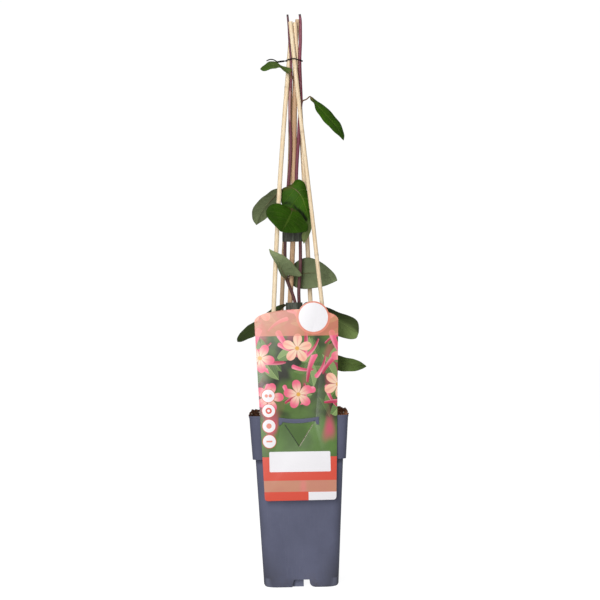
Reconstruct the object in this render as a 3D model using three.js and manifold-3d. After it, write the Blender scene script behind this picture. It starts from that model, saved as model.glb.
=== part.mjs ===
// Young honeysuckle trained up a wigwam of five bamboo canes, in a tall square nursery pot with a hanging
// label. Millimetres, +Z up. The origin is the middle of the pot's foot, and the label hangs at -Y.
import * as THREE from 'three';
import { mergeVertices } from 'three/addons/utils/BufferGeometryUtils.js';
import Module from 'manifold-3d';

const wasm = await Module();
wasm.setup();
const { clamp, degToRad, lerp, mapLinear, radToDeg } = THREE.MathUtils;

// ---- Driving dimensions ----
const GAP = 0.3;                    // running clearance between pieces that touch

const POT_HEIGHT = 209.5;
const POT_WALL = 1.6;
const RIM_HALF = 60;                // half widths of the square pot, outside
const RIM_BEAD = { height: 2.2, step: 0.2, proud: 0.4 };
const COLLAR_FOOT_HALF = 56.6;
const COLLAR_HEIGHT = 53;
const COLLAR_FOOT = POT_HEIGHT - COLLAR_HEIGHT;
const BODY_TOP_HALF = 53.2;
const BODY_FOOT_HALF = 45.4;
const FOOT_CHAMFER = 2;
const COLLAR_CORNER = 9;            // corner radii
const BODY_TOP_CORNER = 9;
const BODY_FOOT_CORNER = 16;
const FLOOR_UNDERSIDE = 9.5;        // the floor stands clear of the ground by this much
const FOOT_RING_WIDTH = 2.2;
const FOOT_RIB = { length: 25, width: 3, fromCentre: 36.5, end: 3 };
const DRAIN_RADIUS = 5;
const DRAIN_FROM_CENTRE = 25;
const CORNER_STEPS = 6;

const SOIL_LEVEL = 208;
const SOIL_EDGE_DROP = 2.5;         // how far the soil stands lower along the pot's wall
const SOIL_TO_WALL = 0.45;
const SOIL_TOP_RINGS = 16;
const SOIL_HEAPS = [
  { x: -53, y: 42, rise: 2.2, spread: 6 },
  { x: 50, y: 44, rise: 5, spread: 7 },
  { x: 46, y: -10, rise: 1.5, spread: 16 },
];

const CANE_RADIUS = {
  cane_front_left: 2.8, cane_front_right: 2.5, cane_back_left: 2.7, cane_back_right: 2.8, cane_centre: 3.2,
};
const CANE_TIP_RADIUS = 2.5;
const CANE_THINS = { from: 560, to: 640 };          // heights, from a cane's own radius to its tip's
const CANE_SIDES = 12;
const STEM_FOOT_RADIUS = 2.1;
const STEM_TIP_RADIUS = { stem_left: 1.25, stem_right: 1.4 };
const STEM_TAPER = { stem_left: 2, stem_right: 30 };  // the larger, the nearer to its tip a stem thins
const STEM_SIDES = 8;
const STEM_NODE_RADIUS = 2.5;       // the swelling where a pair of leaves grows
const STEM_STEPS = 44;
const PETIOLE_RADIUS = 0.8;
const LEAF_THICKNESS = 0.7;
const LEAF_ROWS = 14;
const LEAF_HALF_COLUMNS = 4;
const LEAF_END_HALF = 0.6;          // half width of a blade at its very base and tip

const TAPE_WIDTH = 11.5;
const TAPE_THICKNESS = 0.7;
const TAPE_ROOM = 0.75;             // extra clearance, because what a tape holds leans within its width
const TAPE_FOOT = { tie_tape_upper: 421.5, tie_tape_lower: 334.5 };
const WIRE_RADIUS = 0.55;
const WIRE_ROOM = 0.35;
const WIRE_HEIGHT = 645.5;
const WIRE_TURNS = 2.5;             // of the twist that holds it
const WIRE_TWIST_RADIUS = 0.42;
const WIRE_TWIST_STEPS = 10;

const LABEL_BACK_Y = -60.7;
const LABEL_THICKNESS = 0.7;
const LABEL_FOOT_Z = 107.5;
const LABEL_SHOULDER_Z = 324;
const LABEL_CROWN_Z = 338;
const LABEL_FOOT_HALF = 43;
const LABEL_SHOULDER_HALF = 50.6;
const LABEL_FOOT_CORNER = 4;
const LABEL_TILT = degToRad(0.5);
const BADGE_RADIUS = 19.2;
const BADGE_CENTRE = new THREE.Vector2(20.6, 328);

const HOOK_Z = 204.2;               // height of the pot's hook, which the label hangs on
const HOOK_WEB_HALF = 19;
const HOOK_WEB_HEIGHT = 1.8;
const HOOK_BAR_HALF = 24.2;
const HOOK_BAR_THICKNESS = 1.5;
const HOOK_SLIT = { half: 20, height: 2.8 };
const HOOK_FLAP = { half: 16.6, top: 199, apex: 173, cut: 0.5 };

function material(color, roughness) {
  return new THREE.MeshStandardMaterial({ color, roughness, metalness: 0 });
}

const MATERIALS = {
  pot: material(0x626578, 0.5),
  soil: material(0x3a281c, 0.95),
  cane: material(0xe6cfa6, 0.6),
  caneShaded: material(0xb4926c, 0.65),
  stem: material(0x6d4350, 0.5),
  leaf: material(0x3c5f1e, 0.45),
  tape: material(0x42463b, 0.45),
  wire: material(0x1c1c20, 0.4),
  label: material(0xdc7a66, 0.35),
};

// ---- Solids ----
const vec = (x, y, z) => new THREE.Vector3(x, y, z);

function solid(geometry) {
  const bare = geometry.clone();
  bare.deleteAttribute('normal');
  bare.deleteAttribute('uv');
  const merged = mergeVertices(bare, 1e-4);
  return new wasm.Manifold(new wasm.Mesh({
    numProp: 3,
    vertProperties: Float32Array.from(merged.attributes.position.array),
    triVerts: Uint32Array.from(merged.index.array),
  }));
}

function geometryOf(body) {
  const mesh = body.getMesh();
  const geometry = new THREE.BufferGeometry();
  const positions = Float32Array.from(mesh.vertProperties);
  geometry.setAttribute('position', new THREE.BufferAttribute(positions, 3));
  geometry.setIndex(new THREE.BufferAttribute(Uint32Array.from(mesh.triVerts), 1));
  geometry.computeVertexNormals();
  return geometry;
}

// A closed solid skinned over a stack of outlines, each an equally long list of points that runs
// anticlockwise as seen from above. The two ends are closed by fans round their middle points.
function loft(outlines) {
  const count = outlines[0].length;
  const points = outlines.flat();
  const faces = [];
  for (let ring = 0; ring + 1 < outlines.length; ring += 1) {
    for (let i = 0; i < count; i += 1) {
      const a = ring * count + i;
      const b = ring * count + ((i + 1) % count);
      faces.push(a, b, b + count, a, b + count, a + count);
    }
  }
  const capEnd = (ring, upward) => {
    const middle = new THREE.Vector3();
    outlines[ring].forEach((point) => middle.addScaledVector(point, 1 / count));
    const centre = points.push(middle) - 1;
    for (let i = 0; i < count; i += 1) {
      const a = ring * count + i;
      const b = ring * count + ((i + 1) % count);
      faces.push(centre, upward ? a : b, upward ? b : a);
    }
  };
  capEnd(0, false);
  capEnd(outlines.length - 1, true);
  const geometry = new THREE.BufferGeometry().setFromPoints(points);
  geometry.setIndex(faces);
  return geometry;
}

function roundedSquare(half, corner, z) {
  const outline = [];
  for (let quarter = 0; quarter < 4; quarter += 1) {
    const turn = (quarter * Math.PI) / 2;
    for (let step = 0; step <= CORNER_STEPS; step += 1) {
      const angle = turn + (step / CORNER_STEPS) * (Math.PI / 2);
      const middleX = (half - corner) * (Math.cos(turn) - Math.sin(turn));
      const middleY = (half - corner) * (Math.sin(turn) + Math.cos(turn));
      outline.push(vec(middleX + corner * Math.cos(angle), middleY + corner * Math.sin(angle), z));
    }
  }
  return outline;
}

function box(x, y, z, width, depth, height) {
  return solid(new THREE.BoxGeometry(width, depth, height).translate(x, y, z));
}

// An outline in the X-Z plane given thickness towards +Y, from its face at y.
function plate(shape, y, thickness, curveSegments = 8) {
  const settings = { depth: thickness, bevelEnabled: false, curveSegments };
  const geometry = new THREE.ExtrudeGeometry(shape, settings);
  return solid(geometry.rotateX(Math.PI / 2).translate(0, y + thickness, 0));
}

function tube(points, radius, sides, steps) {
  const section = new THREE.Shape();
  for (let i = 0; i < sides; i += 1) {
    const angle = (i / sides) * 2 * Math.PI;
    const corner = [radius * Math.cos(angle), radius * Math.sin(angle)];
    if (i === 0) section.moveTo(...corner);
    else section.lineTo(...corner);
  }
  const extrudePath = new THREE.CatmullRomCurve3(points, false, 'centripetal');
  return solid(new THREE.ExtrudeGeometry(section, { steps, extrudePath, curveSegments: 1 }));
}

// ---- Pot ----
const bodyHalfAt = (z) => mapLinear(z, 0, COLLAR_FOOT, BODY_FOOT_HALF, BODY_TOP_HALF);
const bodyCornerAt = (z) => mapLinear(z, 0, COLLAR_FOOT, BODY_FOOT_CORNER, BODY_TOP_CORNER);
const collarHalfAt = (z) => mapLinear(z, COLLAR_FOOT, POT_HEIGHT, COLLAR_FOOT_HALF, RIM_HALF);

function bodyOutline(z, inset = 0) {
  return roundedSquare(bodyHalfAt(z) - inset, bodyCornerAt(z) - inset, z);
}

function collarOutline(z, inset = 0) {
  return roundedSquare(collarHalfAt(z) - inset, COLLAR_CORNER - inset, z);
}

// The cut in the foot ring, square on its left and rounded out on its right.
function drainNotch() {
  const notch = new THREE.Shape();
  notch.moveTo(-10.8, -1);
  notch.lineTo(-10.6, 1);
  notch.lineTo(-9, FLOOR_UNDERSIDE);
  notch.lineTo(9.9, FLOOR_UNDERSIDE);
  notch.lineTo(10.6, 4.6);
  notch.quadraticCurveTo(12.2, 1, 16.5, 0.2);
  notch.lineTo(16.5, -1);
  return plate(notch, -BODY_FOOT_HALF - 2, 2 * FOOT_RING_WIDTH + 4, 4);
}

// The bar that crosses in front of the label, sagging a little between its two turned-down feet.
function labelHook() {
  const bar = new THREE.Shape();
  bar.moveTo(-HOOK_BAR_HALF, HOOK_Z + 3.6);
  bar.quadraticCurveTo(0, HOOK_Z - 0.6, HOOK_BAR_HALF, HOOK_Z + 4);
  bar.lineTo(HOOK_BAR_HALF, HOOK_Z - 5.6);
  bar.lineTo(HOOK_BAR_HALF - 3, HOOK_Z - 4.6);
  bar.lineTo(HOOK_BAR_HALF - 4.4, HOOK_Z - 0.6);
  bar.quadraticCurveTo(0, HOOK_Z - 5.6, -HOOK_BAR_HALF + 5, HOOK_Z - 1.8);
  bar.lineTo(-HOOK_BAR_HALF + 3.2, HOOK_Z - 4.6);
  bar.lineTo(-HOOK_BAR_HALF, HOOK_Z - 6.4);
  const barBackY = LABEL_BACK_Y - LABEL_THICKNESS - GAP;
  const front = plate(bar, barBackY - HOOK_BAR_THICKNESS, HOOK_BAR_THICKNESS);
  const webBackY = -RIM_HALF + POT_WALL;
  const webDepth = webBackY - (barBackY - HOOK_BAR_THICKNESS / 2);
  const webMiddleY = webBackY - webDepth / 2;
  return front.add(box(0, webMiddleY, HOOK_Z, 2 * HOOK_WEB_HALF, webDepth, HOOK_WEB_HEIGHT));
}

function makePot() {
  const beadFoot = POT_HEIGHT - RIM_BEAD.height;
  const outside = solid(loft([
    bodyOutline(0, FOOT_CHAMFER),
    bodyOutline(FOOT_CHAMFER * 0.4, FOOT_CHAMFER * 0.45),
    bodyOutline(FOOT_CHAMFER * 1.4),
    bodyOutline(COLLAR_FOOT),
    collarOutline(COLLAR_FOOT),
    collarOutline(beadFoot - RIM_BEAD.step),
    collarOutline(beadFoot, -RIM_BEAD.proud),
    collarOutline(POT_HEIGHT, -RIM_BEAD.proud),
  ]));
  const ledge = COLLAR_FOOT + POT_WALL;
  const inside = solid(loft([
    bodyOutline(FLOOR_UNDERSIDE + POT_WALL, POT_WALL),
    bodyOutline(ledge, POT_WALL),
    collarOutline(ledge, POT_WALL),
    collarOutline(POT_HEIGHT + 1, POT_WALL),
  ]));
  const underside = solid(loft([
    bodyOutline(-1, FOOT_CHAMFER + FOOT_RING_WIDTH),
    bodyOutline(FLOOR_UNDERSIDE, FOOT_CHAMFER + FOOT_RING_WIDTH),
  ]));
  let pot = outside.subtract(inside).subtract(underside);
  const notch = drainNotch();
  const ribEnd = FOOT_RIB.end - FOOT_RIB.length / 2;
  const ribHeight = FLOOR_UNDERSIDE + POT_WALL / 2;
  const { length, width, fromCentre } = FOOT_RIB;
  const rib = box(ribEnd, -fromCentre, ribHeight / 2, length, width, ribHeight);
  const drain = solid(new THREE.CylinderGeometry(DRAIN_RADIUS, DRAIN_RADIUS, 8, 16).rotateX(Math.PI / 2));
  const drainPlace = [DRAIN_FROM_CENTRE, DRAIN_FROM_CENTRE, FLOOR_UNDERSIDE];
  for (let side = 0; side < 4; side += 1) {
    const quarterTurn = [0, 0, side * 90];
    pot = pot.subtract(notch.rotate(quarterTurn)).add(rib.rotate(quarterTurn));
    pot = pot.subtract(drain.translate(drainPlace).rotate(quarterTurn));
  }
  return pot.add(labelHook());
}

// ---- Canes and stems ----
// Points up the middle of each, from its lower end.
const CANES = {
  cane_front_left: [vec(-37, -42, 95), vec(-35, -38, 205), vec(-28.5, -26.7, 340),
    vec(-20.2, -15.5, 475), vec(-12, -7.2, 574), vec(-5.2, -1.4, 646), vec(-1, 3.4, 692)],
  cane_front_right: [vec(41.2, -41, 95), vec(41.4, -38.4, 205), vec(23.2, -23.5, 422),
    vec(14.4, -17.2, 510), vec(6.6, -11.6, 589), vec(1.4, -7.6, 646), vec(-2.7, -4.3, 693.5)],
  cane_back_left: [vec(-30, 42, 60), vec(-27, 38, 205), vec(-19.1, 26, 345), vec(-15, 20.5, 415),
    vec(-11.4, 16.8, 460), vec(-7.4, 13.6, 500), vec(-5.2, 11, 540), vec(-4.6, 8.8, 580),
    vec(-4.2, 6.8, 620), vec(-3.6, 5.6, 651.5)],
  cane_back_right: [vec(24.5, 43, 95), vec(22.2, 38, 205), vec(16.3, 23.9, 361), vec(10.1, 8.8, 529),
    vec(7.4, 3.1, 595), vec(4.9, -1.4, 646), vec(2.9, -1.2, 693)],
  cane_centre: [vec(-24, 3, 97), vec(-17, 2, 205), vec(-8.4, 0.2, 349), vec(-3.7, 0.6, 427),
    vec(-1.2, 1.8, 516), vec(1, 3.1, 591), vec(1.7, 4.2, 618), vec(2.6, 4.2, 646), vec(6.2, 4.2, 697.5)],
};

const STEMS = {
  stem_left: [vec(1, 2, 165), vec(1, 1, 205), vec(2, 0, 262), vec(0.5, -2.4, 310), vec(-1.4, -3.9, 341),
    vec(-5.5, -5.4, 357), vec(-12.3, -4.9, 376), vec(-13.8, -2.6, 403), vec(-13.2, -2, 427),
    vec(-12.2, -2, 464), vec(-9, -2, 489), vec(-6, -2, 516), vec(-4.5, -2, 547), vec(-5.6, -2.2, 580),
    vec(-4.7, -3.4, 603), vec(-2.6, -6.2, 624), vec(-2.7, -5.3, 646), vec(-4.2, -4.2, 666),
    vec(-5.3, -0.6, 692), vec(-6.2, 0.6, 703)],
  stem_right: [vec(9, 6, 165), vec(9, 5, 205), vec(7, 4, 262), vec(4.4, 1.4, 310), vec(2.9, 0.6, 341),
    vec(2.5, 0, 361), vec(4.8, 0, 390), vec(5.2, -0.4, 427), vec(3.8, -1.5, 462), vec(1.8, -2.8, 497),
    vec(2.6, -2.6, 516), vec(5, -1, 547), vec(6.6, -0.4, 572), vec(8.9, -2.2, 595), vec(8.5, -4.2, 620),
    vec(8.2, -5, 646), vec(9.3, -3.6, 668), vec(9.7, -2.4, 684), vec(9.8, -1.6, 696), vec(8.9, -1.2, 703)],
};

// The nodes of the stems, named by the height at which a leaf or a pair of leaves grows.
const STEM_NODES = {
  stem_left: { top: 624, upper: 487, lower: 376, base: 241 },
  stem_right: { top: 595, upper: 446, lower: 326, base: 268 },
};

function pathOf(points) {
  return new THREE.CatmullRomCurve3(points, false, 'centripetal');
}

// The point of a rising path that is at height z.
function pointAt(points, z) {
  const path = pathOf(points);
  let low = 0;
  let high = 1;
  for (let halving = 0; halving < 30; halving += 1) {
    const middle = (low + high) / 2;
    if (path.getPoint(middle).z < z) low = middle;
    else high = middle;
  }
  return path.getPoint(low);
}

// A rod up a rising path, as thick at each height as radiusAt says.
function shaft(points, radiusAt, sides, steps) {
  const outlines = pathOf(points).getPoints(steps).map(({ x, y, z }) => {
    const radius = radiusAt(z);
    return Array.from({ length: sides }, (_, i) => {
      const angle = (i / sides) * 2 * Math.PI;
      return vec(x + radius * Math.cos(angle), y + radius * Math.sin(angle), z);
    });
  });
  return solid(loft(outlines));
}

function caneRadiusAt(name, z) {
  const thinned = clamp((z - CANE_THINS.from) / (CANE_THINS.to - CANE_THINS.from), 0, 1);
  return lerp(CANE_RADIUS[name], CANE_TIP_RADIUS, thinned);
}

function makeCane(name, clearance = 0) {
  const steps = 2 * CANES[name].length + 2;
  return shaft(CANES[name], (z) => caneRadiusAt(name, z) + clearance, CANE_SIDES, steps);
}

// A stem keeps its thickness for most of its length and thins towards its tip.
function stemRadiusAt(name, z) {
  const rise = clamp((z - SOIL_LEVEL) / (STEMS[name].at(-1).z - SOIL_LEVEL), 0, 1);
  return lerp(STEM_FOOT_RADIUS, STEM_TIP_RADIUS[name], rise ** STEM_TAPER[name]);
}

function stemShaft(name, clearance = 0) {
  return shaft(STEMS[name], (z) => stemRadiusAt(name, z) + clearance, STEM_SIDES, STEM_STEPS);
}

function makeStem(name) {
  let stem = stemShaft(name);
  for (const height of Object.values(STEM_NODES[name])) {
    const place = pointAt(STEMS[name], height);
    const swelling = new THREE.SphereGeometry(STEM_NODE_RADIUS, 8, 6).rotateX(Math.PI / 2);
    stem = stem.add(solid(swelling.translate(place.x, place.y, place.z)));
  }
  return stem;
}

// ---- Soil ----
// Heaped a little in the corners and crumbly all over.
function soilHeight(x, y) {
  const heaps = SOIL_HEAPS.reduce((sum, heap) => {
    const fromHeap = (x - heap.x) ** 2 + (y - heap.y) ** 2;
    return sum + heap.rise * Math.exp(-fromHeap / (2 * heap.spread ** 2));
  }, 0);
  const crumbs = 1.1 * Math.sin(0.61 * x + 0.37 * y) * Math.cos(0.53 * y - 0.29 * x)
    + 0.7 * Math.sin(1.27 * x - 0.71 * y + 1.3) + 0.5 * Math.cos(1.13 * y + 0.83 * x);
  return SOIL_LEVEL + heaps + crumbs;
}

function makeSoil() {
  const inset = POT_WALL + SOIL_TO_WALL;
  const floor = FLOOR_UNDERSIDE + POT_WALL + GAP;
  const ledge = COLLAR_FOOT + POT_WALL;
  const edge = collarOutline(SOIL_LEVEL - SOIL_EDGE_DROP, inset);
  const outlines = [
    bodyOutline(floor, inset),
    bodyOutline(ledge + GAP, inset),
    collarOutline(ledge + GAP, inset),
    edge,
  ];
  for (let ring = SOIL_TOP_RINGS; ring >= 1; ring -= 1) {
    const scale = ring / SOIL_TOP_RINGS;
    outlines.push(edge.map((point) => {
      const x = point.x * scale * 0.995;
      const y = point.y * scale * 0.995;
      return vec(x, y, soilHeight(x, y));
    }));
  }
  let soil = solid(loft(outlines));
  const below = [0, 0, -GAP];
  for (const name of Object.keys(CANES)) {
    soil = soil.subtract(makeCane(name, GAP).translate(below));
  }
  for (const name of Object.keys(STEMS)) {
    soil = soil.subtract(stemShaft(name, GAP).translate(below));
  }
  return soil;
}

// ---- Ties ----
// The tight outline round several stems and canes at one height, each grown by the clearance.
function wrapOutline(members, z, clearance) {
  const rim = [];
  for (const name of members) {
    const centre = pointAt(STEMS[name] ?? CANES[name], z);
    const reach = (name in STEMS ? stemRadiusAt : caneRadiusAt)(name, z) + clearance;
    const round = new THREE.EllipseCurve(centre.x, centre.y, reach, reach).getPoints(24);
    rim.push(...round.slice(1));
  }
  rim.sort((a, b) => a.x - b.x || a.y - b.y);
  const halfHull = (ordered) => {
    const hull = [];
    for (const point of ordered) {
      while (hull.length > 1) {
        const [before, last] = hull.slice(-2);
        const turn = last.clone().sub(before).cross(point.clone().sub(last));
        if (turn > 1e-6) break;
        hull.pop();
      }
      hull.push(point);
    }
    return hull.slice(0, -1);
  };
  return [...halfHull(rim), ...halfHull([...rim].reverse())];
}

const TAPED = [...Object.keys(STEMS), 'cane_centre'];
const WIRED = [...Object.keys(STEMS), ...Object.keys(CANES)];

// A band of nursery tape whose lower edge is at z.
function makeTape(z) {
  const middle = z + TAPE_WIDTH / 2;
  const room = GAP + TAPE_ROOM;
  const band = new THREE.Shape(wrapOutline(TAPED, middle, room + TAPE_THICKNESS));
  band.holes.push(new THREE.Path(wrapOutline(TAPED, middle, room)));
  const geometry = new THREE.ExtrudeGeometry(band, { depth: TAPE_WIDTH, bevelEnabled: false });
  return solid(geometry.translate(0, 0, z));
}

// A wire drawn round the canes, its two ends twisted together and left long on the left.
function makeWireTie() {
  const outline = wrapOutline(WIRED, WIRE_HEIGHT, GAP + WIRE_RADIUS + WIRE_ROOM);
  const leftmost = outline.reduce((best, point) => (point.x < best.x ? point : best));
  const start = outline.indexOf(leftmost);
  const around = outline.map((_, i) => outline[(start + i) % outline.length]);
  const drape = ({ x, y }) => {
    const lift = y < 0 ? 1.4 * Math.cos((x + 1) / 5.2) : 0;
    return vec(x, y, WIRE_HEIGHT + lift);
  };
  const half = around.findIndex((point) => point.x > 9.6);
  const every = (list) => list.filter((_, i) => i % 3 === 0);
  const front = every(around.slice(0, half + 3)).map(drape);
  const back = every(around.slice(half).reverse()).map(drape);
  const neck = vec(leftmost.x - 2.4, leftmost.y - 1.2, WIRE_HEIGHT - 0.4);
  const twistEnd = vec(-19.5, neck.y - 2, WIRE_HEIGHT - 1.7);
  const strand = (phase, end, loop) => {
    const points = [...end];
    for (let i = 0; i <= WIRE_TWIST_STEPS; i += 1) {
      const along = i / WIRE_TWIST_STEPS;
      const angle = phase + along * WIRE_TURNS * 2 * Math.PI;
      const aside = vec(0, Math.cos(angle), Math.sin(angle)).multiplyScalar(WIRE_TWIST_RADIUS);
      points.push(twistEnd.clone().lerp(neck, along).add(aside));
    }
    return tube([...points, ...loop], WIRE_RADIUS, 6, 56);
  };
  const longTail = [
    vec(-33, neck.y - 3, WIRE_HEIGHT - 0.2), vec(-29, neck.y - 3, WIRE_HEIGHT + 1.4),
    vec(-25, neck.y - 3, WIRE_HEIGHT + 1.3), vec(-21.8, neck.y - 2.6, WIRE_HEIGHT - 0.2),
  ];
  const shortTail = [vec(-22, neck.y - 1, WIRE_HEIGHT - 2.6)];
  return strand(0, longTail, front).add(strand(Math.PI, shortTail, back));
}

// ---- Label ----
function labelOutline() {
  const [foot, footHalf, footZ] = [LABEL_FOOT_CORNER, LABEL_FOOT_HALF, LABEL_FOOT_Z];
  const [half, shoulder, crown] = [LABEL_SHOULDER_HALF, LABEL_SHOULDER_Z, LABEL_CROWN_Z];
  const outline = new THREE.Shape();
  outline.moveTo(-footHalf + foot, footZ);
  outline.lineTo(footHalf - foot, footZ);
  outline.quadraticCurveTo(footHalf, footZ, footHalf + 0.2, footZ + foot);
  outline.lineTo(half, shoulder);
  outline.bezierCurveTo(half - 0.5, shoulder + 9, half - 20, crown - 1, 0, crown);
  outline.bezierCurveTo(-half + 20, crown - 1, -half + 0.5, shoulder + 9, -half, shoulder);
  outline.lineTo(-footHalf - 0.2, footZ + foot);
  outline.quadraticCurveTo(-footHalf, footZ, -footHalf + foot, footZ);
  return outline;
}

// The V-shaped cut that lets the label's middle give way as it goes over the hook.
function flapOutline() {
  const { half, top, apex, cut } = HOOK_FLAP;
  const flap = new THREE.Shape();
  flap.moveTo(-half, top);
  flap.lineTo(0, apex);
  flap.lineTo(half, top);
  flap.lineTo(half + cut, top);
  flap.lineTo(0, apex - 1.6 * cut);
  flap.lineTo(-half - cut, top);
  return flap;
}

function makeLabel() {
  const frontY = LABEL_BACK_Y - LABEL_THICKNESS;
  const sheet = plate(labelOutline(), frontY, LABEL_THICKNESS, 10);
  const disc = new THREE.Shape();
  disc.absarc(BADGE_CENTRE.x, BADGE_CENTRE.y, BADGE_RADIUS, 0, 2 * Math.PI);
  const badge = plate(disc, frontY, LABEL_THICKNESS, 24);
  const through = 4 * LABEL_THICKNESS;
  const slit = box(0, LABEL_BACK_Y, HOOK_Z, 2 * HOOK_SLIT.half, through, HOOK_SLIT.height);
  const flapCut = plate(flapOutline(), frontY - LABEL_THICKNESS, through);
  const hung = sheet.add(badge).translate([0, 0, -HOOK_Z]).rotate([0, radToDeg(-LABEL_TILT), 0]);
  return hung.translate([0, 0, HOOK_Z]).subtract(slit).subtract(flapCut);
}

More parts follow.
